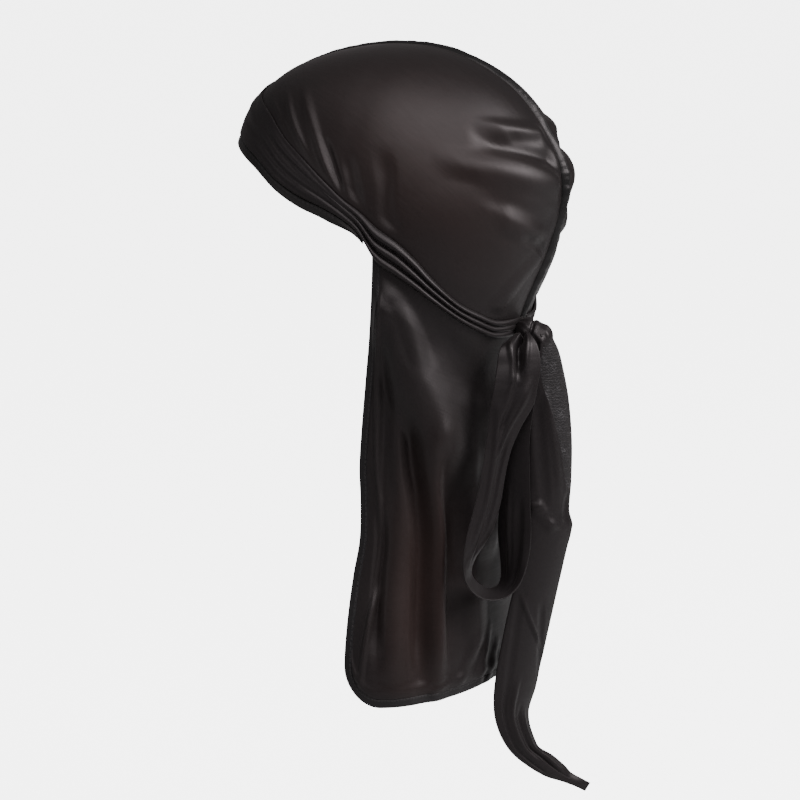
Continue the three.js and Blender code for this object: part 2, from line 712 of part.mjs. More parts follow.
const loopRows = [
  [0, 0.4, 0.0, 0.0, 0.26, 100, 11, 0],
  [0.025, 0.64, 0.03, 0.031, 0.71, 115, 3, 0.05],
  [0.06, 0.74, 0.07, 0.102, 0.87, 119, 0, 0.08],
  [0.097, 0.84, 0.05, 0.174, 0.87, 122, -1, 0.08],
  [0.13, 0.91, 0.01, 0.239, 0.86, 124, -2, 0.08],
  [0.175, 1.02, -0.11, 0.324, 0.68, 129, -3, 0.06],
  [0.218, 1.12, -0.2, 0.408, 0.56, 136, -5, 0.05],
  [0.264, 1.22, -0.26, 0.5, 0.56, 144, -6, 0.05],
  [0.315, 1.32, -0.32, 0.6, 0.61, 148, -6, 0.05],
  [0.365, 1.47, -0.41, 0.697, 0.65, 153, -5, 0.05],
  [0.4, 1.58, -0.5, 0.766, 0.65, 166, 0, 0.04],
  [0.431, 1.65, -0.58, 0.823, 0.63, 181, 2, 0.02],
  [0.461, 1.62, -0.6, 0.883, 0.64, 194, 3, 0],
  [0.49, 1.49, -0.48, 0.931, 0.68, 199, 3, 0],
  [0.518, 1.32, -0.27, 0.955, 0.7, 205, 3, 0],
  [0.546, 1.07, -0.09, 0.951, 0.7, 219, 3, 0],
  [0.573, 0.89, 0.01, 0.913, 0.72, 234, -1, 0.02],
  [0.614, 0.76, 0.03, 0.834, 0.77, 249, -5, 0.06],
  [0.662, 0.68, 0.0, 0.738, 0.81, 257, -4, 0.08],
  [0.719, 0.65, -0.01, 0.622, 0.73, 259, -4, 0.08],
  [0.776, 0.62, 0.0, 0.506, 0.62, 262, -4, 0.08],
  [0.832, 0.58, 0.02, 0.392, 0.5, 264, -3, 0.08],
  [0.884, 0.52, 0.07, 0.287, 0.45, 269, -1, 0.05],
  [0.945, 0.44, 0.15, 0.166, 0.41, 274, -1, 0],
  [1, 0.36, 0.2, 0.075, 0.33, 274, -1, 0],
]
addPiece('tie_loop', ribbonGeometry(loopRows, LOOP_REACH, LOOP_DROP, 28, 4), satin(0x1c191c, 0.42))

const tailRows = [
  [0, 0.0, 0.33, 0.003, 0.25, 148, -15, 0],
  [0.025, 0.0, 0.37, 0.034, 0.5, 145, -6, 0.05],
  [0.061, -0.01, 0.4, 0.073, 0.68, 142, 0, 0.08],
  [0.12, -0.01, 0.42, 0.138, 0.92, 142, -6, 0.1],
  [0.197, 0.01, 0.44, 0.222, 1.06, 142, -6, 0.12],
  [0.274, 0.03, 0.45, 0.306, 1.07, 143, -7, 0.12],
  [0.335, 0.06, 0.42, 0.372, 0.95, 145, -8, 0.1],
  [0.363, 0.03, 0.44, 0.403, 1.0, 145, -8, 0.12],
  [0.41, 0.06, 0.38, 0.452, 0.96, 147, -9, 0.1],
  [0.495, 0.11, 0.2, 0.545, 1.05, 148, -10, 0.1],
  [0.6, 0.15, 0.01, 0.658, 1.08, 150, -12, 0.1],
  [0.694, 0.18, -0.14, 0.759, 1.06, 152, -13, 0.1],
  [0.741, 0.18, -0.21, 0.81, 0.93, 154, -12, 0.12],
  [0.773, 0.15, -0.19, 0.844, 0.87, 154, -11, 0.14],
  [0.806, 0.09, -0.11, 0.878, 0.83, 154, -10, 0.16],
  [0.839, -0.02, 0.0, 0.909, 0.7, 154, -3, 0.18],
  [0.876, -0.21, 0.21, 0.936, 0.63, 151, 8, 0.18],
  [0.917, -0.4, 0.43, 0.963, 0.5, 150, 14, 0.15],
  [0.945, -0.55, 0.59, 0.98, 0.29, 153, 25, 0.1],
  [0.974, -0.7, 0.77, 0.995, 0.21, 155, 40, 0.1],
  [1, -0.84, 0.9, 1.008, 0.2, 150, 48, 0],
]
addPiece('tie_tail', ribbonGeometry(tailRows, TAIL_REACH, TAIL_DROP, 28, 4), satin(0x1a181b, 0.45))

export default durag
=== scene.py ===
import math

import bmesh
import bpy
import numpy as np
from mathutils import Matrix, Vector


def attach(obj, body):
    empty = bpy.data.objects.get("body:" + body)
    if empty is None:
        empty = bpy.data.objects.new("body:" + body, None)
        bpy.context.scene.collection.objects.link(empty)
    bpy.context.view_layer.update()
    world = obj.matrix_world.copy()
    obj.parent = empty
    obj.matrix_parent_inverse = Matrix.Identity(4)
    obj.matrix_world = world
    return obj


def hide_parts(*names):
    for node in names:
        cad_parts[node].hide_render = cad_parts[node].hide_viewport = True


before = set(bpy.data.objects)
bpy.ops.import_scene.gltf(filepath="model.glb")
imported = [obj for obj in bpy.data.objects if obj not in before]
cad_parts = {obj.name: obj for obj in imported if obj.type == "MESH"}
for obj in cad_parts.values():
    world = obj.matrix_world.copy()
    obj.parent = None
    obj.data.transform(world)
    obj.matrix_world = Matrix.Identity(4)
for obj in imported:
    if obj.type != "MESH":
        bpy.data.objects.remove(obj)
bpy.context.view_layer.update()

# Camera, lights and floor. The durag is seen from behind the wearer's left ear and a
# little above, held up over a plain pale floor as a head would hold it. A broad lamp
# shines from above the camera, a strong one from high on its right, a weak one from its left.
EYE = Vector((1.2596, 0.5900, 0.1941))
LOOKED_AT = Vector((0.02085, 0.01240, -0.10887))
LENS = 103.95
SENSOR_WIDTH = 36
to_eye = (EYE - LOOKED_AT).normalized()
to_right = Vector((0, 0, 1)).cross(to_eye).normalized()
to_top = to_eye.cross(to_right)


def turned_to(thing, place, target):
    thing.location = place
    thing.rotation_euler = (target - place).to_track_quat("-Z", "Y").to_euler()


camera = bpy.data.objects.new("camera", bpy.data.cameras.new("camera"))
bpy.context.scene.collection.objects.link(camera)
camera.data.lens = LENS
camera.data.sensor_width = SENSOR_WIDTH
turned_to(camera, EYE, LOOKED_AT)
bpy.context.scene.camera = camera


def soft_lamp(name, right, up, near, size, power):
    """A square soft box placed as seen from the camera, in metres from the durag's middle."""
    light = bpy.data.lights.new(name, "AREA")
    light.shape = "SQUARE"
    light.size = size
    light.energy = power
    lamp = bpy.data.objects.new(name, light)
    bpy.context.scene.collection.objects.link(lamp)
    turned_to(lamp, LOOKED_AT + to_right * right + to_top * up + to_eye * near, LOOKED_AT)


soft_lamp("lamp_front", right=0.0, up=1.15, near=1.6, size=1.6, power=66)
soft_lamp("lamp_left", right=-1.5, up=0.2, near=0.7, size=0.8, power=6)
soft_lamp("lamp_right", right=1.5, up=0.9, near=0.9, size=1.1, power=98)


def add_node(tree, kind, inputs=None, **settings):
    """Adds a shader node; each input is given by name as a value or as a socket to link."""
    made = tree.nodes.new(kind)
    for name, value in settings.items():
        setattr(made, name, value)
    for name, value in (inputs or {}).items():
        if isinstance(value, bpy.types.NodeSocket):
            tree.links.new(value, made.inputs[name])
        else:
            made.inputs[name].default_value = value
    return made


AIR_COLOUR = (0.93, 0.94, 0.95, 1)
AIR_LIGHT = 0.16
AIR_SEEN_LIGHT = 4.8
studio = bpy.data.worlds.new("studio")
studio.use_nodes = True
studio_air = studio.node_tree.nodes["Background"]
studio_air.inputs["Color"].default_value = AIR_COLOUR
seen_air = add_node(studio.node_tree, "ShaderNodeLightPath")
air_glow = add_node(studio.node_tree, "ShaderNodeMath",
                    {0: seen_air.outputs["Is Camera Ray"], 1: AIR_SEEN_LIGHT, 2: AIR_LIGHT},
                    operation="MULTIPLY_ADD")
studio.node_tree.links.new(air_glow.outputs[0], studio_air.inputs["Strength"])
bpy.context.scene.world = studio

FLOOR_HEIGHT = -0.47
FLOOR_HALF_WIDTH = 30
FLOOR_GREY = 0.4
FLOOR_SEEN_LIGHT = 5.0
bm = bmesh.new()
bmesh.ops.create_grid(bm, x_segments=1, y_segments=1, size=FLOOR_HALF_WIDTH)
for vert in bm.verts:
    vert.co.z = FLOOR_HEIGHT
floor = bpy.data.objects.new("floor", bpy.data.meshes.new("floor"))
bm.to_mesh(floor.data)
bm.free()
bpy.context.scene.collection.objects.link(floor)
paper = bpy.data.materials.new("floor_paper")
paper.use_nodes = True
paper_shader = paper.node_tree.nodes["Principled BSDF"]
paper_shader.inputs["Base Color"].default_value = (FLOOR_GREY, FLOOR_GREY, FLOOR_GREY, 1)
paper_shader.inputs["Roughness"].default_value = 0.9
paper_shader.inputs["Emission Color"].default_value = (1, 1, 1, 1)
seen = add_node(paper.node_tree, "ShaderNodeLightPath")
glow = add_node(paper.node_tree, "ShaderNodeMath",
                {0: seen.outputs["Is Camera Ray"], 1: FLOOR_SEEN_LIGHT}, operation="MULTIPLY")
paper.node_tree.links.new(glow.outputs[0], paper_shader.inputs["Emission Strength"])
floor.data.materials.append(paper)

# The crown: two mirrored halves of thin black polyester satin, pulled smooth over the
# head from the ties up to the middle seam. The pull of the ties draws pleats up from
# above the ear, and folds run from the back of the head into the seam.
HEAD_FRONT = 0.098
HEAD_TOP = 0.104
HEAD_BACK = 0.110
HEAD_DROP = 0.150
HEAD_HALF_WIDTH = 0.077
CLOTH = 0.0012
GAP = 0.0003
LAYER_GAP = 0.0005
SATIN_THICKNESS = 0.0005
BROW_HEIGHT = 0.067
NAPE_DROP = 0.060
BAND_WIDTH = 0.024
PLEAT_DEPTH = 0.003
SEAM_WIDTH = 0.008
CROWN_FOLD_DEPTH = 0.004
CROWN_LENGTH = math.pi * (HEAD_FRONT + HEAD_BACK) / 2
CROWN_RISE = HEAD_TOP + HEAD_HALF_WIDTH / 2
CROWN_EDGE_SHARE = 1 / 11
CROWN_FIRST_AZIMUTH = 2
CROWN_LAST_AZIMUTH = 178
HEAD_NEAREST = 0.01
HEAD_FARTHEST = 0.17
HEAD_SEARCH_STEPS = 22
BAND_SEARCH_STEPS = 14


def mix(start, end, share):
    return start + (end - start) * share


def smooth(start, end, value):
    share = np.clip((value - start) / (end - start), 0, 1)
    return share * share * (3 - 2 * share)


def unit(vectors):
    return vectors / np.linalg.norm(vectors, axis=-1, keepdims=True)


def curve(rows):
    """A smooth curve through rows: the first column is where, the others the values there."""
    table = np.array(rows, float)
    at, values = table[:, 0], table[:, 1:]
    slopes = np.empty_like(values)
    slopes[1:-1] = (values[2:] - values[:-2]) / (at[2:] - at[:-2])[:, None]
    slopes[0] = (values[1] - values[0]) / (at[1] - at[0])
    slopes[-1] = (values[-1] - values[-2]) / (at[-1] - at[-2])

    def read(place):
        held = np.clip(place, at[0], at[-1])
        i = np.clip(np.searchsorted(at, held) - 1, 0, len(at) - 2)
        step = (at[i + 1] - at[i])[..., None]
        s = (held - at[i])[..., None] / step
        start = (1 + 2 * s) * (1 - s) ** 2 * values[i] + s * (1 - s) ** 2 * step * slopes[i]
        end = (3 - 2 * s) * s**2 * values[i + 1] - (1 - s) * s**2 * step * slopes[i + 1]
        return np.moveaxis(start + end, -1, 0)

    return read


head_outline = curve([  # angle over the middle, reach as a share of an ellipse, squareness
    (0, 0.97, 2.5), (14, 1.0, 2.5), (27, 1.04, 2.5), (40, 1.074, 2.45), (54, 1.053, 2.4),
    (66, 1.014, 2.35), (78, 0.99, 2.3), (92, 0.99, 2.25), (105, 1.007, 2.2), (120, 1.02, 2.1),
    (135, 1.031, 2.0), (150, 1.028, 1.95), (160, 1.027, 1.95), (170, 0.993, 2.0),
    (180, 0.942, 2.05), (192, 0.887, 2.05), (200, 0.855, 2.1), (212, 0.83, 2.15),
    (230, 0.86, 2.2), (270, 0.93, 2.3),
])
band_line = curve([  # azimuth, height from nape to brow, width, depth of the pleats
    (0, 1.0, 1.1, 0), (27, 0.95, 0.96, 0), (46, 0.88, 0.98, 0.05), (60, 0.78, 0.99, 0.1),
    (71, 0.71, 0.89, 0.15), (82, 0.645, 0.65, 0.2), (92, 0.58, 0.5, 0.3),
    (100, 0.52, 0.56, 0.6), (107, 0.43, 0.84, 1.0), (116, 0.36, 0.87, 1.0),
    (123, 0.295, 0.76, 1.0), (130, 0.22, 0.6, 0.9), (140, 0.125, 0.46, 0.7),
    (150, 0.06, 0.46, 0.6), (160, 0.015, 0.46, 0.6), (180, 0, 0.5, 0.6),
])


def head_reach(direction):
    """How far the head's surface lies from its middle in a direction."""
    x, y, z = np.moveaxis(direction, -1, 0)
    angle = np.arctan2(z, -y)
    turned = np.degrees(angle)
    reach, squareness = head_outline(np.where(turned < -90, turned + 360, turned))
    length = np.where(np.cos(angle) > 0, HEAD_FRONT, HEAD_BACK)
    height = np.where(np.sin(angle) > 0, HEAD_TOP, HEAD_DROP)
    middle = reach / np.hypot(np.cos(angle) / length, np.sin(angle) / height)
    along = np.hypot(y, z) / middle
    across = np.abs(x) / HEAD_HALF_WIDTH
    return (along**squareness + across**squareness) ** (-1 / squareness)


def on_head(direction):
    heading = unit(direction)
    return heading * head_reach(heading)[..., None]


def head_at(azimuth, height):
    """The head's surface at an azimuth from the front, in degrees, and a height."""
    turn = np.radians(azimuth)
    height = height + 0 * turn
    near, far = HEAD_NEAREST + 0 * turn, HEAD_FARTHEST + 0 * turn
    for _ in range(HEAD_SEARCH_STEPS):
        middle = (near + far) / 2
        point = np.stack([middle * np.sin(turn), -middle * np.cos(turn), height], -1)
        within = np.linalg.norm(point, axis=-1) < head_reach(unit(point))
        near, far = np.where(within, middle, near), np.where(within, far, middle)
    return np.stack([near * np.sin(turn), -near * np.cos(turn), height], -1)


def head_normal(point):
    def depth(place):
        return np.linalg.norm(place, axis=-1) / head_reach(unit(place))

    steps = np.eye(3) * 5e-5
    return unit(np.stack([depth(point + s) - depth(point - s) for s in steps], -1))


def azimuth_of(point):
    return np.abs(np.degrees(np.arctan2(point[..., 0], -point[..., 1])))


def band_at(azimuth):
    """The lower edge, middle, upper edge and pleat depth of the ties at an azimuth."""
    height, width, pleat = band_line(azimuth)
    middle = mix(-NAPE_DROP, BROW_HEIGHT, height)
    half = width * BAND_WIDTH / 2
    return middle - half, middle, middle + half, pleat * PLEAT_DEPTH


EAR_FRONT_AZIMUTH = 93
EAR_BACK_AZIMUTH = 104


def crown_edge(azimuth):
    """The crown's lower edge: along the ties' lower edge in front, their middle behind the ear."""
    low, middle, _, _ = band_at(azimuth)
    return mix(low, middle, smooth(EAR_FRONT_AZIMUTH, EAR_BACK_AZIMUTH, azimuth))


def fold_height(folds, u, v, u_length, v_length, depth):
    """Folds are (u0, v0, u1, v1, bow, width, height): ridges or dents along bowed lines."""
    total = 0 * u
    for u0, v0, u1, v1, bow, width, height in folds:
        du, dv = (u1 - u0) * u_length, (v1 - v0) * v_length
        length = math.hypot(du, dv)
        pu, pv = (u - u0) * u_length, (v - v0) * v_length
        along = (pu * du + pv * dv) / length**2
        aside = (pv * du - pu * dv) / length - bow * length * 4 * along * (1 - along)
        ends = smooth(-0.12, 0.16, along) * smooth(1.15, 0.75, along)
        nearness = np.clip(1 - (aside / (width * v_length)) ** 2, 0, 1)
        total = total + height * depth * ends * nearness**2
    return total


CROWN_FOLDS = [
    (0.48, 0.06, 0.315, 0.34, 0.03, 0.038, 0.3),
    (0.42, 0.06, 0.285, 0.25, 0.03, 0.03, 0.26),
    (0.375, 0.06, 0.25, 0.15, 0, 0.03, 0.28),
    (0.5, 0.06, 0.4, 0.225, 0, 0.03, -0.5),
    (0.395, 0.065, 0.3, 0.13, 0, 0.022, -0.35),
    (0.53, 0.07, 0.455, 0.24, 0, 0.045, -0.35),
    (0.6, 0.1, 0.5, 0.34, 0, 0.05, -0.3),
    (0.575, 0.68, 0.65, 0.96, -0.04, 0.045, 0.6),
    (0.605, 0.73, 0.645, 0.86, 0, 0.022, -0.3),
    (0.585, 0.66, 0.665, 0.88, 0, 0.035, 0.35),
    (0.58, 0.64, 0.715, 0.95, 0, 0.055, -0.8),
    (0.58, 0.5, 0.74, 1.0, -0.05, 0.07, 0.75),
    (0.68, 0.52, 0.78, 0.72, 0, 0.07, 0.35),
    (0.74, 0.6, 0.84, 0.86, 0, 0.035, -0.4),
    (0.64, 0.5, 0.78, 0.9, -0.05, 0.05, -0.3),
    (0.86, 0.12, 0.82, 0.9, 0.04, 0.08, 0.3),
]


def slerped(low, high, spread, angle_up):
    """The head's surface between a low and a high point, at an angle up from the low one."""
    towards = unit(low) * np.sin(spread - angle_up)[..., None]
    return on_head(towards + unit(high) * np.sin(angle_up)[..., None])


def crown_surface(u, v):
    """A point of the wearer's left half: u from the brow to the nape, v up to the seam."""
    azimuth = mix(CROWN_FIRST_AZIMUTH, CROWN_LAST_AZIMUTH, u)
    low = head_at(azimuth, crown_edge(azimuth) + GAP)
    ahead, behind = np.zeros(1), np.full(1, 180.0)
    front = head_at(ahead, crown_edge(ahead) + GAP)[0]
    back = head_at(behind, crown_edge(behind) + GAP)[0]
    angle = mix(math.atan2(front[2], -front[1]), math.atan2(back[2], -back[1]) + 2 * math.pi, u)
    high = on_head(np.stack([0 * u, -np.cos(angle), np.sin(angle)], -1))
    spread = np.arccos(np.clip(np.sum(unit(low) * unit(high), -1), -1, 1))
    near, far = 0 * u, 0.4 * spread
    for _ in range(BAND_SEARCH_STEPS):
        middle = (near + far) / 2
        point = slerped(low, high, spread, middle)
        covered = point[..., 2] < band_at(azimuth_of(point))[2] + CLOTH
        near, far = np.where(covered, middle, near), np.where(covered, far, middle)
    under_band = near
    under_seam = (SEAM_WIDTH / 2 + LAYER_GAP) / np.linalg.norm(high, axis=-1)
    under_seam = np.minimum(0.3 * spread, under_seam)
    share = CROWN_EDGE_SHARE
    free = mix(under_band, spread - under_seam, (v - share) / (1 - 2 * share))
    first = under_band * v / share
    last = mix(spread - under_seam, spread, (v - 1 + share) / share)
    angle_up = np.where(v < share, first, np.where(v > 1 - share, last, free))
    point = slerped(low, high, spread, angle_up)
    point[..., 0] += GAP / 2
    relief = fold_height(CROWN_FOLDS, u, v, CROWN_LENGTH, CROWN_RISE, CROWN_FOLD_DEPTH)
    relief = relief * smooth(CLOTH, 0.009, point[..., 2] - band_at(azimuth_of(point))[2])
    relief = relief * smooth(SEAM_WIDTH / 2 + LAYER_GAP, SEAM_WIDTH / 2 + 0.008, point[..., 0])
    return point + head_normal(point) * (CLOTH + relief)[..., None]


def cloth_piece(name, columns, rows, surface, flat, turned=False, tube=False, glow_at=None):
    """A fine grid of cloth laid on a surface(u, v), its UV map in metres of flat cloth."""
    bm = bmesh.new()
    uv_map = bm.loops.layers.uv.new("UVMap")
    painted_glow = bm.verts.layers.float.new("painted_glow")
    bmesh.ops.create_grid(bm, x_segments=columns, y_segments=rows, size=0.5)
    bm.verts.ensure_lookup_table()
    shares = np.array([(v.co.x + 0.5, v.co.y + 0.5) for v in bm.verts])
    points = surface(shares[:, 0], shares[:, 1])
    # Each vertex gets a share of painted glow: a brownish colour standing in for lit skin seen through thin
    # cloth.
    tint = glow_at(shares[:, 0], shares[:, 1]) if glow_at else np.zeros(len(shares))
    for vert, point, tinted in zip(bm.verts, points, tint):
        vert.co = point
        vert[painted_glow] = tinted
    for face in bm.faces:
        face.smooth = True
        for loop in face.loops:
            u, v = shares[loop.vert.index]
            loop[uv_map].uv = (u * flat[0], v * flat[1])
    if tube:
        bmesh.ops.remove_doubles(bm, verts=bm.verts, dist=1e-6)
        open_edges = [e for e in bm.edges if e.is_boundary]
        bmesh.ops.holes_fill(bm, edges=open_edges, sides=0)
        bmesh.ops.recalc_face_normals(bm, faces=bm.faces)
    elif turned:
        bmesh.ops.reverse_faces(bm, faces=bm.faces)
    piece = bpy.data.objects.new(name, bpy.data.meshes.new(name))
    bm.to_mesh(piece.data)
    bm.free()
    bpy.context.scene.collection.objects.link(piece)
    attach(piece, "root")
    return piece


def give_thickness(piece, thickness):
    wall = piece.modifiers.new("thickness", "SOLIDIFY")
    wall.thickness = thickness
    wall.offset = -1
    return wall


def new_group(name, inputs, outputs):
    """A node group with named float, colour or vector sockets and their first values."""
    tree = bpy.data.node_groups.new(name, "ShaderNodeTree")
    kinds = {1: "NodeSocketFloat", 3: "NodeSocketVector", 4: "NodeSocketColor"}
    for label, value in inputs.items():
        size = len(value) if isinstance(value, tuple) else 1
        socket = tree.interface.new_socket(label, in_out="INPUT", socket_type=kinds[size])
        socket.default_value = value
    for label, kind in outputs.items():
        tree.interface.new_socket(label, in_out="OUTPUT", socket_type=kind)
    return tree, tree.nodes.new("NodeGroupInput"), tree.nodes.new("NodeGroupOutput")


satin_threads, given, given_out = new_group(
    "satin_threads",
    {"Cloth place": (0, 0, 0), "Thread width": 0.00035, "Slub width": 0.0022, "Depth": 1.0},
    {"Height": "NodeSocketFloat", "Tone": "NodeSocketFloat", "Slub": "NodeSocketFloat"},
)
scale = add_node(satin_threads, "ShaderNodeMath",
                 {0: 1.0, 1: given.outputs["Thread width"]}, operation="DIVIDE")
spread_out = add_node(satin_threads, "ShaderNodeVectorMath",
                      {0: given.outputs["Cloth place"], "Scale": scale.outputs[0]}, operation="SCALE")
long_floats = add_node(satin_threads, "ShaderNodeMapping",
                       {"Vector": spread_out.outputs[0], "Scale": (0.06, 1, 1)})
floats = add_node(satin_threads, "ShaderNodeTexNoise",
                  {"Vector": long_floats.outputs[0], "Scale": 1.0, "Detail": 2.0}, noise_dimensions="2D")
height = add_node(satin_threads, "ShaderNodeMath",
                  {0: floats.outputs[0], 1: given.outputs["Depth"]}, operation="MULTIPLY")
satin_threads.links.new(height.outputs[0], given_out.inputs["Height"])
satin_threads.links.new(floats.outputs[0], given_out.inputs["Tone"])
slub_scale = add_node(satin_threads, "ShaderNodeMath",
                      {0: 1.0, 1: given.outputs["Slub width"]}, operation="DIVIDE")
slub_place = add_node(satin_threads, "ShaderNodeVectorMath",
                      {0: given.outputs["Cloth place"], "Scale": slub_scale.outputs[0]}, operation="SCALE")
long_slubs = add_node(satin_threads, "ShaderNodeMapping",
                      {"Vector": slub_place.outputs[0], "Scale": (0.16, 1, 1)})
slubs = add_node(satin_threads, "ShaderNodeTexNoise",
                 {"Vector": long_slubs.outputs[0], "Scale": 1.0, "Detail": 3.0}, noise_dimensions="2D")
satin_threads.links.new(slubs.outputs[0], given_out.inputs["Slub"])

soft_creases, given, given_out = new_group(
    "soft_creases",
    {"Cloth place": (0, 0, 0), "Size": 0.02, "Stretch": (1.0, 1.0, 1.0)},
    {"Height": "NodeSocketFloat"},
)
scale = add_node(soft_creases, "ShaderNodeMath", {0: 1.0, 1: given.outputs["Size"]}, operation="DIVIDE")
spread_out = add_node(soft_creases, "ShaderNodeVectorMath",
                      {0: given.outputs["Cloth place"], "Scale": scale.outputs[0]}, operation="SCALE")
pulled = add_node(soft_creases, "ShaderNodeVectorMath",
                  {0: spread_out.outputs[0], 1: given.outputs["Stretch"]}, operation="MULTIPLY")
waves = add_node(soft_creases, "ShaderNodeTexNoise",
                 {"Vector": pulled.outputs[0], "Scale": 1.0, "Detail": 3.0, "Roughness": 0.45})
soft_creases.links.new(waves.outputs[0], given_out.inputs["Height"])


def satin(name, black, glow_colour, roughness, sheen, crease_size, crease_stretch, crease_depth):
    """Black satin: glossy floats over fine threads, soft creases, and a painted brownish glow that stands
    in for lit skin seen through the thin cloth.
    """
    material = bpy.data.materials.new(name)
    material.use_nodes = True
    tree = material.node_tree
    shader = tree.nodes["Principled BSDF"]
    shader.inputs["Specular IOR Level"].default_value = 0.16
    shader.inputs["Sheen Weight"].default_value = sheen
    shader.inputs["Sheen Roughness"].default_value = 0.45
    shader.inputs["Sheen Tint"].default_value = (0.9, 0.78, 0.78, 1)
    shader.inputs["Specular Tint"].default_value = (1.0, 0.9, 0.92, 1)
    shader.inputs["Anisotropic"].default_value = 0.5
    along_threads = add_node(tree, "ShaderNodeTangent", direction_type="UV_MAP", uv_map="UVMap")
    tree.links.new(along_threads.outputs[0], shader.inputs["Tangent"])
    place = add_node(tree, "ShaderNodeTexCoord")
    cloth_place = place.outputs["UV"]
    threads = add_node(tree, "ShaderNodeGroup", node_tree=satin_threads)
    tree.links.new(cloth_place, threads.inputs["Cloth place"])
    creases = add_node(tree, "ShaderNodeGroup", node_tree=soft_creases)
    tree.links.new(place.outputs["Object"], creases.inputs["Cloth place"])
    creases.inputs["Size"].default_value = crease_size
    creases.inputs["Stretch"].default_value = crease_stretch
    # Painted glow: the base colour turns brownish where lit skin would show through the thin satin.
    painted_glow = add_node(tree, "ShaderNodeAttribute", attribute_name="painted_glow")
    base = add_node(tree, "ShaderNodeMix", {"Factor": painted_glow.outputs["Fac"]}, data_type="RGBA")
    base.inputs[6].default_value = (*black, 1)
    base.inputs[7].default_value = (*glow_colour, 1)
    tone = add_node(tree, "ShaderNodeMapRange",
                    {"Value": threads.outputs["Tone"], "To Min": 0.75, "To Max": 1.3})
    toned = add_node(tree, "ShaderNodeVectorMath",
                     {0: base.outputs[2], "Scale": tone.outputs[0]}, operation="SCALE")
    tree.links.new(toned.outputs[0], shader.inputs["Base Color"])
    gloss = add_node(tree, "ShaderNodeMapRange",
                     {"Value": threads.outputs["Slub"], "From Min": 0.3, "From Max": 0.7,
                      "To Min": roughness - 0.02, "To Max": roughness + 0.02})
    tree.links.new(gloss.outputs[0], shader.inputs["Roughness"])
    coarse = add_node(tree, "ShaderNodeBump",
                      {"Height": creases.outputs["Height"], "Strength": 1.0, "Distance": crease_depth})
    uneven = add_node(tree, "ShaderNodeBump",
                      {"Height": threads.outputs["Slub"], "Strength": 1.0, "Distance": 0.00005,
                       "Normal": coarse.outputs[0]})
    fine = add_node(tree, "ShaderNodeBump",
                    {"Height": threads.outputs["Height"], "Strength": 0.5, "Distance": 0.00004,
                     "Normal": uneven.outputs[0]})
    tree.links.new(fine.outputs[0], shader.inputs["Normal"])
    return material


# The second colour is painted glow: lit skin seen through the thin satin.
crown_satin = satin("crown_satin", black=(0.0042, 0.0034, 0.0035), glow_colour=(0.010, 0.0055, 0.0048),
                    roughness=0.45, sheen=0.02, crease_size=0.05, crease_stretch=(1, 1, 1),
                    crease_depth=0.0006)


def crown_painted_glow(u, v):
    """How much painted glow shows, standing in for lit skin seen through the thin satin: most in the middle
    of the crown's side.
    """
    middle = np.exp(-(((u - 0.55) / 0.2) ** 2) - ((v - 0.42) / 0.3) ** 2)
    return 0.6 * middle


crown_flat = (CROWN_LENGTH, CROWN_RISE)
crown_left = cloth_piece("crown_left_cloth", 230, 110, crown_surface, crown_flat, glow_at=crown_painted_glow)


def mirrored(surface):
    def other_side(u, v):
        return surface(u, v) * np.array([-1, 1, 1])

    return other_side


crown_right = cloth_piece("crown_right_cloth", 230, 110, mirrored(crown_surface), crown_flat,
                          turned=True, glow_at=crown_painted_glow)
for half, node in ((crown_left, "crown_left"), (crown_right, "crown_right")):
    half.data.materials.append(crown_satin)
    give_thickness(half, SATIN_THICKNESS)
    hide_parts(node)

# The middle seam: the two halves are sewn edge to edge and the raw edges stand up
# outside as a low roll, drawn into small puckers by the stitching, from brow to nape.
SEAM_HEIGHT = 0.0024
SEAM_STITCH = 0.0042
SEAM_OVER_SHARE = 0.8
seam_section = curve([
    (0, -0.5, 0), (0.16, -0.42, 0.45), (0.38, -0.14, 1), (0.62, 0.14, 1), (0.84, 0.42, 0.45),
    (1, 0.5, 0),
])
seam_puckers = curve([
    (0, 0.3), (0.05, 0.7), (0.2, 0.8), (0.35, 0.7), (0.5, 0.75), (0.56, 0.75), (0.61, 0.45), (0.66, 0.9),
    (0.7, 1.3), (0.73, 1.15), (0.78, 0.85), (0.86, 0.95), (0.96, 0.7), (1, 0.4),
])


def seam_surface(u, v):
    """The seam's roll: u over the roll and back beneath it, v from the brow to the nape."""
    ahead, behind = np.zeros(1), np.full(1, 180.0)
    front = head_at(ahead, band_at(ahead)[2] + GAP + LAYER_GAP)[0]
    back = head_at(behind, crown_edge(behind) + GAP)[0]
    start, end = math.atan2(front[2], -front[1]), math.atan2(back[2], -back[1]) + 2 * math.pi
    angle = mix(start, end, v)
    middle = on_head(np.stack([0 * u, -np.cos(angle), np.sin(angle)], -1))
    across, up = seam_section(np.minimum(u / SEAM_OVER_SHARE, 1))
    beneath = u > SEAM_OVER_SHARE
    across = np.where(beneath, mix(0.5, -0.5, (u - SEAM_OVER_SHARE) / (1 - SEAM_OVER_SHARE)), across)
    up = np.where(beneath, 0, up)
    stitches = 2 * math.pi * v * CROWN_LENGTH / SEAM_STITCH
    pucker = 1 + 0.035 * np.sin(stitches) + 0.09 * np.sin(0.29 * stitches + 1.7 * np.sin(0.09 * stitches))
    sway = 0.06 * np.sin(0.13 * stitches + 0.8 * np.sin(0.05 * stitches)) * up
    lower_front = mix(0.5, 1, smooth(0.15, 0.55, v))
    height = SEAM_HEIGHT * seam_puckers(v)[0] * np.where(up > 0, pucker, 1) * lower_front
    beside = middle.copy()
    beside[..., 0] = (across * (1 - 0.1 * up) + sway) * SEAM_WIDTH
    lift = CLOTH - SATIN_THICKNESS / 2 + up * (height + LAYER_GAP)
    return on_head(beside) + head_normal(middle) * lift[..., None]


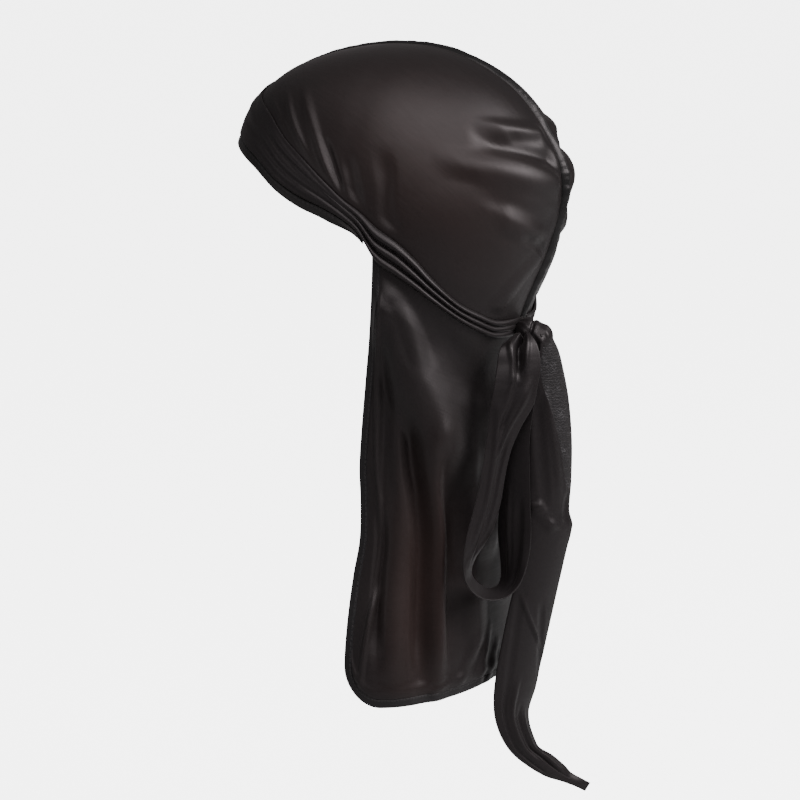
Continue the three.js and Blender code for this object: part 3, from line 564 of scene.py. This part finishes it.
seam = cloth_piece("center_seam_roll", 20, 420, seam_surface, (0.02, CROWN_LENGTH), tube=True)
seam.data.materials.append(
    satin("seam_satin", black=(0.003, 0.003, 0.003), glow_colour=(0.003, 0.003, 0.003), roughness=0.42,
          sheen=0.02, crease_size=0.006, crease_stretch=(1, 1, 1), crease_depth=0.0004))
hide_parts("center_seam")

# The ties round the head: two wide strips of the same satin that run on from the front
# edge, lie flat over the brow, gather into three pleats behind the ears and are drawn
# down to the knot at the nape.
PLEATS = 3
BAND_END_AZIMUTH = 178
BAND_FOLDS = [
    (0.1, 0.75, 0.42, 0.42, 0, 0.16, 0.22),
    (0.14, 0.35, 0.5, 0.2, 0, 0.14, 0.16),
    (0.28, 0.85, 0.56, 0.6, 0, 0.14, 0.2),
]
BAND_LENGTH = 0.26
BAND_SLENDERNESS = 2.8
KNOT_SIDE_AZIMUTH = 158


def band_surface(u, v):
    """The wearer's left tie: u from the brow to the knot, v from its lower to its upper edge."""
    start = math.degrees(math.asin(GAP / 2 / HEAD_FRONT))
    azimuth = mix(start, BAND_END_AZIMUTH, u)
    low, _, high, pleat = band_at(azimuth)
    point = head_at(azimuth, mix(low + GAP, high, v))
    pressed = mix(0.3, 1, smooth(BAND_END_AZIMUTH, KNOT_SIDE_AZIMUTH, azimuth))
    ridges = np.abs(np.sin(PLEATS * math.pi * v)) ** 0.7 * pressed
    relief = fold_height(BAND_FOLDS, u, v, BAND_SLENDERNESS, 1, PLEAT_DEPTH)
    lift = CLOTH + LAYER_GAP / 2 + pleat * ridges + relief + 2 * SATIN_THICKNESS
    return point + head_normal(point) * lift[..., None]


# The second colour is painted glow, lit skin seen through the thin satin; no tie piece gets a share of it.
tie_satin = satin("tie_satin", black=(0.0042, 0.0034, 0.0036), glow_colour=(0.010, 0.006, 0.005),
                  roughness=0.45, sheen=0.02, crease_size=0.03, crease_stretch=(1, 1, 1),
                  crease_depth=0.0004)
band_flat = (BAND_LENGTH, BAND_WIDTH * 2)
band_left = cloth_piece("band_left_cloth", 220, 48, band_surface, band_flat)
band_right = cloth_piece("band_right_cloth", 220, 48, mirrored(band_surface), band_flat, turned=True)
for band, node in ((band_left, "tie_band_left"), (band_right, "tie_band_right")):
    band.data.materials.append(tie_satin)
    give_thickness(band, 2 * SATIN_THICKNESS)
    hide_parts(node)

# The front hem: the face edge of the cloth, turned under twice and sewn down with one
# row of small stitches, just below the ties.
FRONT_HEM_WIDTH = 0.006
HEM_THICKNESS = 0.0022
HEM_END_AZIMUTH = 101
HEM_TAPER_AZIMUTH = 85
HEM_END_SHARE = 0.45
front_hem_section = curve([
    (0, 0, 0), (0.06, 0, 0.45), (0.12, 0.02, 0.62), (0.3, 0.35, 0.85), (0.42, 0.55, 1.0), (0.56, 0.88, 1.0),
    (0.66, 0.98, 0.75), (0.72, 1.0, 0.5), (0.8, 0.95, 0.1), (0.86, 0.85, 0), (1, 0, 0),
])


def front_hem_surface(u, v):
    """The front hem: u round its section, v from the wearer's right ear to the left."""
    azimuth = mix(-HEM_END_AZIMUTH, HEM_END_AZIMUTH, v)
    beside = np.abs(azimuth)
    high = np.minimum(band_at(beside)[0], crown_edge(beside)) - GAP
    taper = mix(1, HEM_END_SHARE, smooth(HEM_TAPER_AZIMUTH, HEM_END_AZIMUTH, beside))
    down, up = front_hem_section(u)
    point = head_at(azimuth, high - down * FRONT_HEM_WIDTH * taper)
    return point + head_normal(point) * (up * HEM_THICKNESS)[..., None]


stitch_row, given, given_out = new_group(
    "stitch_row",
    {"Cloth place": (0, 0, 0), "Distance across": 0.005, "Pitch": 0.003, "Stitch width": 0.0006},
    {"Mask": "NodeSocketFloat"},
)
parts = add_node(stitch_row, "ShaderNodeSeparateXYZ", {0: given.outputs["Cloth place"]})
off = add_node(stitch_row, "ShaderNodeMath",
               {0: parts.outputs[0], 1: given.outputs["Distance across"]}, operation="SUBTRACT")
away = add_node(stitch_row, "ShaderNodeMath", {0: off.outputs[0]}, operation="ABSOLUTE")
near_row = add_node(stitch_row, "ShaderNodeMath",
                    {0: away.outputs[0], 1: given.outputs["Stitch width"]}, operation="LESS_THAN")
count = add_node(stitch_row, "ShaderNodeMath",
                 {0: parts.outputs[1], 1: given.outputs["Pitch"]}, operation="DIVIDE")
turn = add_node(stitch_row, "ShaderNodeMath", {0: count.outputs[0]}, operation="FRACT")
on_stitch = add_node(stitch_row, "ShaderNodeMath", {0: turn.outputs[0], 1: 0.68}, operation="LESS_THAN")
both = add_node(stitch_row, "ShaderNodeMath",
                {0: near_row.outputs[0], 1: on_stitch.outputs[0]}, operation="MULTIPLY")
stitch_row.links.new(both.outputs[0], given_out.inputs["Mask"])


def hem_cloth(name, black, thread, across):
    """A folded satin edge: duller than the open cloth, puckered along a row of stitches."""
    material = satin(name, black=black, glow_colour=black, roughness=0.5, sheen=0.04, crease_size=0.008,
                     crease_stretch=(1, 1, 1), crease_depth=0.0004)
    tree = material.node_tree
    shader = tree.nodes["Principled BSDF"]
    stitches = add_node(tree, "ShaderNodeGroup", node_tree=stitch_row)
    place = add_node(tree, "ShaderNodeTexCoord")
    tree.links.new(place.outputs["UV"], stitches.inputs["Cloth place"])
    stitches.inputs["Distance across"].default_value = across
    plain = shader.inputs["Base Color"].links[0].from_socket
    sewn = add_node(tree, "ShaderNodeMix", {"Factor": stitches.outputs["Mask"]}, data_type="RGBA")
    tree.links.new(plain, sewn.inputs[6])
    sewn.inputs[7].default_value = (*thread, 1)
    tree.links.new(sewn.outputs[2], shader.inputs["Base Color"])
    before = shader.inputs["Normal"].links[0].from_socket
    raised = add_node(tree, "ShaderNodeBump", {"Height": stitches.outputs["Mask"], "Strength": 1.0,
                                               "Distance": 0.0003, "Normal": before})
    tree.links.new(raised.outputs[0], shader.inputs["Normal"])
    return material


front_hem = cloth_piece("front_hem_fold", 18, 400, front_hem_surface, (0.014, 0.3), tube=True)
front_hem.data.materials.append(
    hem_cloth("front_hem_satin", black=(0.003, 0.003, 0.003), thread=(0.007, 0.0066, 0.0068),
              across=0.0035))
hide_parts("front_hem")

# The neck flap: the back of the crown runs on under the ties and hangs free over the
# neck as one thin satin sheet with round lower corners. A deep swag runs down from
# behind each ear, and long soft folds run down to the foot.
FLAP_DROP = 0.281
FLAP_HALF_WIDTH = 0.092
FLAP_BACK = 0.071
FLAP_SIDE_Y = 0.010
FLAP_CORNER = 0.026
FLAP_HEM_WIDTH = 0.006
FLAP_EDGE_AZIMUTH = 105
FLAP_FOLD_DEPTH = 0.009
FLAP_TUCK = 0.0025
FLAP_LAID = 0.001
FLAP_HANGS_FREE = 0.046
FLAP_FOLDS_FREE = 0.022
HEM_LAP = 0.85
HEM_ROLL = 0.0015
HEM_ROLL_REACH = 0.004
FLAP_ARC = math.pi / 2 * math.hypot(FLAP_HALF_WIDTH, FLAP_BACK - FLAP_SIDE_Y) / math.sqrt(2)
flap_sections = curve([  # drop, half width, back and the sides' place
    (0.05, 0.83, 1.17, 1.95), (0.1, 0.81, 1.16, 1.85), (0.2, 0.77, 1.12, 1.65),
    (0.31, 0.76, 1.07, 1.34), (0.42, 0.76, 1.03, 1.06), (0.5, 0.76, 1.01, 0.92),
    (0.57, 0.77, 1.0, 1.03), (0.65, 0.8, 1.0, 1.1), (0.73, 0.86, 1.0, 0.92),
    (0.83, 0.95, 1.0, 0.9), (0.92, 1.01, 1.0, 1.0), (1, 1.0, 0.98, 1.2),
])
FLAP_FOLDS = [
    (0.99, 0.1, 0.4, 0.5, -0.03, 0.075, 0.85),
    (0.7, 0.26, 0.38, 0.5, -0.01, 0.08, 0.25),
    (0.86, 0.1, 0.68, 0.27, 0, 0.028, 0.3),
    (0.95, 0.07, 0.87, 0.13, 0, 0.02, 0.2),
    (0.66, 0.13, 0.28, 0.38, 0, 0.06, -0.35),
    (0.64, 0.44, 0.3, 0.53, 0, 0.085, 0.35),
    (0.96, 0.14, 0.88, 0.5, 0, 0.016, 0.2),
    (0.91, 0.2, 0.8, 0.6, 0, 0.03, -0.3),
    (0.9, 0.4, 0.845, 0.8, 0, 0.011, 0.15),
    (0.845, 0.76, 0.9, 0.95, 0, 0.013, 0.22),
    (0.87, 0.6, 0.8, 0.9, 0, 0.022, -0.3),
    (0.8, 0.45, 0.7, 0.98, 0, 0.04, 0.3),
    (0.72, 0.4, 0.55, 0.98, 0.02, 0.032, -0.65),
    (0.6, 0.45, 0.46, 1.0, 0.03, 0.03, 0.65),
    (0.42, 0.42, 0.36, 0.9, 0, 0.06, -0.5),
    (0.34, 0.98, 0.22, 0.88, 0, 0.018, 0.2),
    (0.19, 0.99, 0.13, 0.87, 0, 0.016, 0.2),
    (0.25, 0.97, 0.18, 0.9, 0, 0.016, -0.15),
    (0.13, 1.0, 0.05, 0.91, 0, 0.016, 0.2),
    (0.51, 0.963, 0.4, 0.957, 0, 0.009, -0.2),
    (0.24, 0.78, 0.2, 0.96, 0, 0.04, 0.25),
    (0.3, 0.655, 0.08, 0.655, 0, 0.08, 0.45),
]


def flap_hanging(turn, height):
    """Where the freely hanging flap lies at a turn round the neck (-1 to 1) and a height."""
    width, back, side = flap_sections(-height / FLAP_DROP)
    angle = turn * math.pi / 2
    side = side * FLAP_SIDE_Y
    across = width * FLAP_HALF_WIDTH * np.sin(angle)
    return np.stack([across, side + (back * FLAP_BACK - side) * np.cos(angle), height], -1)


def flap_normal(turn, height):
    along = flap_hanging(turn + 0.004, height) - flap_hanging(turn - 0.004, height)
    down = flap_hanging(turn, height - 0.001) - flap_hanging(turn, height + 0.001)
    return unit(np.cross(along, down))


def flap_azimuth(turn):
    """The azimuth on the head above a turn of the flap."""
    return 180 - np.abs(turn) * (180 - FLAP_EDGE_AZIMUTH)


def flap_emerges(turn):
    """The height at which the flap comes out from under the ties."""
    return band_at(flap_azimuth(turn))[0] - 3 * LAYER_GAP


def flap_place(turn, height):
    """The flap's inner side and its outward normal at a turn round the neck and a height."""
    azimuth = flap_azimuth(turn)
    below = band_at(azimuth)[0] - height
    laid = head_at(azimuth * np.where(turn < 0, -1, 1), height)
    let_go = smooth(FLAP_LAID, FLAP_HANGS_FREE, below)[..., None]
    point = mix(laid, flap_hanging(turn, height), let_go)
    normal = unit(mix(head_normal(laid), flap_normal(turn, height), let_go))
    down = -height / FLAP_DROP
    relief = fold_height(FLAP_FOLDS, np.abs(turn), down, FLAP_ARC, FLAP_DROP, FLAP_FOLD_DEPTH)
    free = smooth(FLAP_LAID, FLAP_FOLDS_FREE, below) * smooth(1, 0.93, np.abs(turn))
    foot = mix(1, 0.45, smooth(-FLAP_DROP * 0.85, -FLAP_DROP, height))
    return point + normal * (relief * free * foot)[..., None], normal


def flap_foot(turn, margin):
    """The height of the flap's foot with its round corners, less a margin."""
    from_side = (1 - np.abs(turn)) * FLAP_ARC - margin
    radius = FLAP_CORNER - margin
    reach = np.clip(radius - from_side, 0, radius)
    return -FLAP_DROP + margin + radius - np.sqrt(radius**2 - reach**2)


def flap_surface(u, v):
    """The flap: u across it, v from its tuck under the crown's edge down to the hem."""
    margin = FLAP_HEM_WIDTH * HEM_LAP
    edge = 1 - margin / FLAP_ARC
    turn = edge * np.sin(mix(-1, 1, u) * math.pi / 2 * 0.999)
    seam_line = crown_edge(flap_azimuth(turn))
    height = mix(seam_line + FLAP_TUCK, flap_foot(turn, margin), v)
    tuck = 1.3 * SATIN_THICKNESS * smooth(seam_line - 2 * FLAP_TUCK, seam_line - GAP, height)
    point, normal = flap_place(turn, height)
    above_hem = height - flap_foot(turn, FLAP_HEM_WIDTH)
    roll = HEM_ROLL * np.exp(-(((above_hem - HEM_ROLL_REACH) / HEM_ROLL_REACH) ** 2))
    roll = roll * smooth(0.98, 0.9, np.abs(turn))
    return point + normal * (CLOTH + roll - tuck)[..., None]


def flap_painted_glow(u, v):
    """How much painted glow shows, standing in for lit skin seen through the thin satin: most in a long
    strip down each side.
    """
    turn = np.sin(mix(-1, 1, u) * math.pi / 2)
    strips = np.exp(-(((np.abs(turn) - 0.62) / 0.2) ** 2) - ((v - 0.72) / 0.3) ** 2)
    return 0.9 * strips


# The second colour is painted glow: lit skin seen through the thin satin.
flap_satin = satin("flap_satin", black=(0.0042, 0.0034, 0.0035), glow_colour=(0.010, 0.0055, 0.0048),
                   roughness=0.45, sheen=0.02, crease_size=0.03, crease_stretch=(1, 1, 0.35),
                   crease_depth=0.0008)
flap = cloth_piece("flap_cloth", 260, 180, flap_surface, (2 * FLAP_ARC, FLAP_DROP), glow_at=flap_painted_glow)
flap.data.materials.append(flap_satin)
give_thickness(flap, SATIN_THICKNESS)
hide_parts("neck_flap")

# The flap's hem: its two sides, round corners and foot are folded double into a narrow
# dark binding with one row of stitches.
FLAP_CORNER_TURN = 1 - FLAP_CORNER / FLAP_ARC
HEM_TUCK = 0.004
HEM_SIDE_SHARE = 0.58
HEM_CORNER_SHARE = 0.1
HEM_FOOT_START = HEM_SIDE_SHARE + HEM_CORNER_SHARE
flap_hem_section = curve([
    (0, 0.98, -0.5), (0.1, 0.5, -0.5), (0.22, 0.12, -0.5), (0.3, 0.02, -0.25), (0.34, 0, 0),
    (0.38, 0.02, 0.25), (0.46, 0.12, 0.5), (0.6, 0.5, 0.55), (0.8, 0.9, 0.5), (0.88, 1, 0.3),
    (1, 0.98, -0.5),
])


def flap_hem_surface(u, v):
    """The hem: u round its section, v down one side, along the foot and up the other."""
    side_foot = -FLAP_DROP + FLAP_CORNER
    half = 1 - np.abs(2 * v - 1)
    sign = np.where(v < 0.5, 1, -1)
    corner = np.clip((half - HEM_SIDE_SHARE) / HEM_CORNER_SHARE, 0, 1)
    angle = corner * math.pi / 2
    turn = FLAP_CORNER_TURN + np.cos(angle) * FLAP_CORNER / FLAP_ARC
    along_foot = mix(FLAP_CORNER_TURN, 0, (half - HEM_FOOT_START) / (1 - HEM_FOOT_START))
    turn = np.where(half > HEM_FOOT_START, along_foot, turn)
    end = side_foot - np.sin(angle) * FLAP_CORNER
    down = np.clip(half / HEM_SIDE_SHARE, 0, 1)
    inward, up = flap_hem_section(u)
    reach = inward * FLAP_HEM_WIDTH
    turn = turn - np.cos(angle) * reach / FLAP_ARC
    top = flap_emerges(turn) + HEM_TUCK
    start = crown_edge(flap_azimuth(turn)) + GAP
    height = mix(start, end + np.sin(angle) * reach, down)
    point, normal = flap_place(turn * sign, height)
    thickness = mix(CLOTH, HEM_THICKNESS, smooth(0, 2 * FLAP_HEM_WIDTH, top - height))
    return point + normal * (CLOTH / 2 + up * thickness)[..., None]


flap_hem = cloth_piece("flap_hem_fold", 18, 720, flap_hem_surface, (0.014, 0.82), tube=True)
flap_hem.data.materials.append(
    hem_cloth("flap_hem_satin", black=(0.003, 0.003, 0.0032), thread=(0.007, 0.0066, 0.0068),
              across=0.0105))
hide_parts("flap_hem")

# The knot: both ties are crossed and pulled tight at the nape, so their creased cloth
# wraps once round itself in a small hard twist.
KNOT_LENGTH = 0.026
KNOT_DEPTH = 0.019
KNOT_HEIGHT = 0.017
KNOT_LEAN = math.radians(32)
KNOT_TURN = math.radians(25)
TIE_ROOT = np.array([0.0045, 0.0900, -0.0635])
knot_middle = TIE_ROOT + np.array([-0.0010, 0.0020, -0.0010])
knot_back = np.array([-math.sin(KNOT_TURN), math.cos(KNOT_TURN), 0])
knot_along = knot_back * math.cos(KNOT_LEAN) + np.array([0, 0, -math.sin(KNOT_LEAN)])
knot_side = np.array([math.cos(KNOT_TURN), math.sin(KNOT_TURN), 0])
knot_up = np.cross(knot_side, knot_along)
knot_girth = curve([(0, 0.30), (0.12, 0.62), (0.3, 0.86), (0.5, 0.9), (0.68, 1.0), (0.85, 0.82), (1, 0.34)])


def knot_surface(u, v):
    """The knot's creased bean: u round it, v along it."""
    share = mix(-0.5, 0.5, v)
    angle = u * 2 * math.pi
    twist = angle + 1.6 * share
    creases = 0.05 * np.abs(np.sin(3.5 * twist + 2 * share)) + 0.035 * np.sin(9 * twist - 5 * share)
    groove = -0.2 * np.exp(-(((share + 0.12 + 0.05 * np.sin(angle)) / 0.045) ** 2))
    girth = knot_girth(v)[0] * np.sqrt(np.clip(1 - (2 * share) ** 6, 0, 1))
    wide = girth * (1 + creases + groove)
    along = (knot_along * share[..., None]) * KNOT_LENGTH
    side = knot_side * (wide * np.cos(angle))[..., None] * KNOT_DEPTH / 2
    up = knot_up * (wide * np.sin(angle))[..., None] * KNOT_HEIGHT / 2
    return knot_middle + along + side + up


knot = cloth_piece("knot_wrap", 120, 90, knot_surface, (0.06, 0.026), tube=True)
knot.data.materials.append(tie_satin)
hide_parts("knot")

# The loop: one tie's end, drawn through the knot as a bow of flat satin ribbon. It
# hangs creased from the knot, turns at its foot and runs back up to the knot.
LOOP_DROP = 0.160
LOOP_REACH = 0.030
TIE_WIDTH = 0.030


def ribbon(rows, reach, drop):
    """Rows of a hanging tie: along, side, back, down, width, facing, tilt, curl."""
    read = curve(rows)

    def middle(row):
        side, back, down = row[0], row[1], row[2]
        x, y, z = TIE_ROOT
        return np.stack([x + side * reach, y + back * reach, z - down * drop], -1)

    def place(across, along, lift):
        row = read(along)
        facing, tilt = np.radians(row[4]), np.radians(row[5])
        level = np.cos(tilt)
        broad = np.stack([np.cos(facing) * level, np.sin(facing) * level, np.sin(tilt)], -1)
        run = unit(middle(read(along + 0.014)) - middle(read(along - 0.014)))
        normal = unit(np.cross(run, broad))
        width = row[3] * TIE_WIDTH
        bow = row[6] * width * (1 - 4 * across**2)
        return middle(row) + broad * (across * width)[..., None] + normal * (bow + lift)[..., None]

    return place


loop_place = ribbon([
    (0, 0.4, 0.0, -0.01, 0.26, 100, 11, 0), (0.025, 0.64, 0.03, 0.031, 0.71, 115, 3, 0.05),
    (0.06, 0.74, 0.07, 0.102, 0.87, 119, 0, 0.08), (0.097, 0.84, 0.05, 0.174, 0.87, 122, -1, 0.08),
    (0.13, 0.91, 0.01, 0.239, 0.86, 124, -2, 0.08), (0.175, 1.02, -0.11, 0.324, 0.68, 129, -3, 0.06),
    (0.218, 1.12, -0.2, 0.408, 0.56, 136, -5, 0.05), (0.264, 1.22, -0.26, 0.5, 0.56, 144, -6, 0.05),
    (0.315, 1.32, -0.32, 0.6, 0.61, 148, -6, 0.05), (0.365, 1.47, -0.41, 0.697, 0.65, 153, -5, 0.05),
    (0.4, 1.58, -0.5, 0.766, 0.65, 166, 0, 0.04), (0.431, 1.65, -0.58, 0.823, 0.63, 181, 2, 0.02),
    (0.461, 1.62, -0.6, 0.883, 0.64, 194, 3, 0), (0.49, 1.49, -0.48, 0.931, 0.68, 199, 3, 0),
    (0.518, 1.32, -0.27, 0.955, 0.7, 205, 3, 0), (0.546, 1.07, -0.09, 0.951, 0.7, 219, 3, 0),
    (0.573, 0.89, 0.01, 0.913, 0.72, 234, -1, 0.02), (0.614, 0.76, 0.03, 0.834, 0.77, 249, -5, 0.06),
    (0.662, 0.68, 0.0, 0.738, 0.81, 257, -4, 0.08), (0.719, 0.65, -0.01, 0.622, 0.73, 259, -4, 0.08),
    (0.776, 0.62, 0.0, 0.506, 0.62, 262, -4, 0.08), (0.832, 0.58, 0.02, 0.392, 0.5, 264, -3, 0.08),
    (0.884, 0.52, 0.07, 0.287, 0.45, 269, -1, 0.05), (0.945, 0.44, 0.15, 0.166, 0.41, 274, -1, 0),
    (1, 0.38, 0.2, 0.054, 0.33, 274, -1, 0),
], LOOP_REACH, LOOP_DROP)
LOOP_FOLDS = [
    (-0.03, 0.5, 0.078, 0.5, 0, 0.17, -6.5),
    (0.0, 0.83, 0.075, 0.56, 0, 0.1, 1.6),
    (0.01, 0.16, 0.1, 0.38, 0.1, 0.12, 1.5),
    (0.08, 0.55, 0.19, 0.4, 0, 0.16, -1.6),
    (0.09, 0.8, 0.23, 0.5, 0, 0.12, 1.2),
    (0.14, 0.2, 0.4, 0.3, 0.05, 0.16, 0.9),
    (0.2, 0.7, 0.42, 0.6, 0, 0.14, -1.0),
    (0.56, 0.35, 0.72, 0.3, 0, 0.16, -1.1),
    (0.58, 0.62, 0.74, 0.66, 0, 0.12, 0.9),
]
TIE_SLENDERNESS = 11
TIE_FOLD_DEPTH = 0.001


def loop_surface(u, v):
    relief = fold_height(LOOP_FOLDS, v, u, TIE_SLENDERNESS, 1, TIE_FOLD_DEPTH)
    return loop_place(u - 0.5, v, CLOTH / 2 + relief)


def knit_reverse(name):
    """The dull side of the tie: a fine knit of loops in close rows, with pale specks painted in as glints
    of light off the knit.
    """
    material = satin(name, black=(0.0042, 0.004, 0.0042), glow_colour=(0.0042, 0.004, 0.0042), roughness=0.6,
                     sheen=0.05, crease_size=0.01, crease_stretch=(1, 1, 1), crease_depth=0.0003)
    tree = material.node_tree
    shader = tree.nodes["Principled BSDF"]
    place = add_node(tree, "ShaderNodeTexCoord")
    rows = add_node(tree, "ShaderNodeTexWave",
                    {"Vector": place.outputs["UV"], "Scale": 170.0, "Distortion": 9.0, "Detail": 3.0,
                     "Detail Scale": 2.5}, bands_direction="Y")
    patches = add_node(tree, "ShaderNodeTexNoise",
                       {"Vector": place.outputs["UV"], "Scale": 140.0, "Detail": 3.0})
    # Painted glints: pale specks where knit rows and noise patches meet, standing in for light caught by
    # the knit.
    painted_glints = add_node(tree, "ShaderNodeMath",
                      {0: rows.outputs["Fac"], 1: patches.outputs[0]}, operation="MULTIPLY")
    glint_share = add_node(tree, "ShaderNodeMapRange",
                      {"Value": painted_glints.outputs[0], "From Min": 0.46, "From Max": 0.72,
                       "To Min": 0.0, "To Max": 1.0})
    plain = shader.inputs["Base Color"].links[0].from_socket
    knit = add_node(tree, "ShaderNodeMix", {"Factor": glint_share.outputs[0]}, data_type="RGBA")
    tree.links.new(plain, knit.inputs[6])
    # The pale colour of the painted glints.
    knit.inputs[7].default_value = (0.036, 0.034, 0.036, 1)
    tree.links.new(knit.outputs[2], shader.inputs["Base Color"])
    before = shader.inputs["Normal"].links[0].from_socket
    raised = add_node(tree, "ShaderNodeBump", {"Height": rows.outputs["Fac"], "Strength": 1.0,
                                               "Distance": 0.0001, "Normal": before})
    tree.links.new(raised.outputs[0], shader.inputs["Normal"])
    return material


loop_tie = cloth_piece("loop_tie", 40, 340, loop_surface, (TIE_WIDTH, 0.33), turned=True)
tie_reverse = knit_reverse("tie_reverse")


def make_tie(tie, node):
    tie.data.materials.append(tie_satin)
    tie.data.materials.append(tie_reverse)
    wall = give_thickness(tie, SATIN_THICKNESS)
    wall.material_offset = 1
    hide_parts(node)


make_tie(loop_tie, "tie_loop")

# The tail: the other tie's end, folded lengthwise so that its satin face and a strip of
# its dull knitted reverse both show. It hangs straight, is creased where it was folded
# up, and curls out at the foot to a thin pointed tip.
TAIL_DROP = 0.290
TAIL_REACH = 0.034
tail_place = ribbon([
    (0, 0.03, 0.3, 0.003, 0.3, 148, -15, 0), (0.025, 0.0, 0.34, 0.034, 0.46, 145, -6, 0.05),
    (0.061, -0.01, 0.36, 0.073, 0.6, 142, 0, 0.08), (0.12, -0.01, 0.38, 0.138, 0.85, 142, -6, 0.12),
    (0.197, 0.01, 0.4, 0.222, 0.99, 142, -6, 0.16), (0.274, 0.03, 0.41, 0.306, 1.0, 143, -7, 0.16),
    (0.335, 0.06, 0.42, 0.372, 0.95, 145, -8, 0.1), (0.363, 0.03, 0.44, 0.403, 1.0, 145, -8, 0.12),
    (0.41, 0.06, 0.38, 0.452, 0.96, 147, -9, 0.1), (0.495, 0.11, 0.2, 0.545, 1.05, 148, -10, 0.1),
    (0.6, 0.15, 0.01, 0.658, 1.08, 150, -12, 0.1), (0.694, 0.18, -0.14, 0.759, 1.06, 152, -13, 0.1),
    (0.741, 0.18, -0.21, 0.81, 0.93, 154, -12, 0.12), (0.773, 0.15, -0.19, 0.844, 0.87, 154, -11, 0.14),
    (0.806, 0.09, -0.11, 0.878, 0.83, 154, -10, 0.16), (0.839, -0.02, 0.0, 0.909, 0.7, 154, -3, 0.18),
    (0.876, -0.21, 0.21, 0.936, 0.63, 151, 8, 0.18), (0.917, -0.4, 0.43, 0.963, 0.5, 150, 14, 0.15),
    (0.945, -0.55, 0.59, 0.98, 0.29, 153, 25, 0.1), (0.974, -0.7, 0.77, 0.995, 0.21, 155, 40, 0.1),
    (1, -0.84, 0.9, 1.008, 0.2, 150, 48, 0),
], TAIL_REACH, TAIL_DROP)
tail_front_edge = curve([
    (0, -0.3), (0.03, -0.42), (0.06, -0.43), (0.12, -0.18), (0.16, -0.03), (0.2, 0.08), (0.27, 0.24),
    (0.32, 0.42), (0.345, 0.49), (0.37, 0.5), (1, 0.5),
])
tail_ply_gap = curve([(0, 0.0016), (0.1, 0.0026), (0.3, 0.0024), (0.4, 0.0014), (0.8, 0.0012), (1, 0.0008)])
TAIL_FOLDS = [
    (0.318, 0.05, 0.366, 0.5, 0, 0.25, 1.7),
    (0.34, 0.35, 0.375, 1.0, 0, 0.14, -0.8),
    (0.3, 0.85, 0.36, 0.8, 0, 0.12, -1.0),
    (0.12, 0.1, 0.33, 0.3, 0, 0.16, -1.2),
    (0.1, 0.3, 0.3, 0.6, 0, 0.12, 0.7),
    (0.5, 0.1, 0.605, 0.84, -0.02, 0.07, 1.3),
    (0.52, 0.62, 0.66, 0.98, 0, 0.12, -0.9),
    (0.5, 0.12, 0.74, 0.25, 0, 0.12, -0.8),
    (0.68, 0.42, 0.87, 0.3, 0, 0.1, 1.3),
    (0.7, 0.22, 0.92, 0.12, 0, 0.08, -1.2),
    (0.74, 0.62, 0.93, 0.5, 0, 0.09, -1.6),
    (0.75, 0.78, 0.92, 0.66, 0, 0.08, 1.2),
]
TAIL_TURN = (0.47, 0.53)


def tail_surface(u, v):
    """The tail is folded lengthwise: the front ply, the fold on the left, the back ply."""
    start, end = TAIL_TURN
    edge = tail_front_edge(v)[0]
    gap = tail_ply_gap(v)[0]
    front = mix(edge, -0.5, np.clip(u / start, 0, 1))
    back = mix(-0.5, 0.5, np.clip((u - end) / (1 - end), 0, 1))
    across = np.where(u < 0.5, front, back)
    turn = np.clip((u - start) / (end - start), 0, 1) * math.pi
    across = across - 0.04 * np.sin(turn)
    on_front = (1 + np.cos(turn)) / 2
    relief = fold_height(TAIL_FOLDS, v, across + 0.5, TIE_SLENDERNESS, 1, TIE_FOLD_DEPTH)
    return tail_place(across, v, CLOTH / 2 + gap * on_front + relief)


tail_tie = cloth_piece("tail_tie", 100, 340, tail_surface, (2 * TIE_WIDTH, 0.32))
make_tie(tail_tie, "tie_tail")
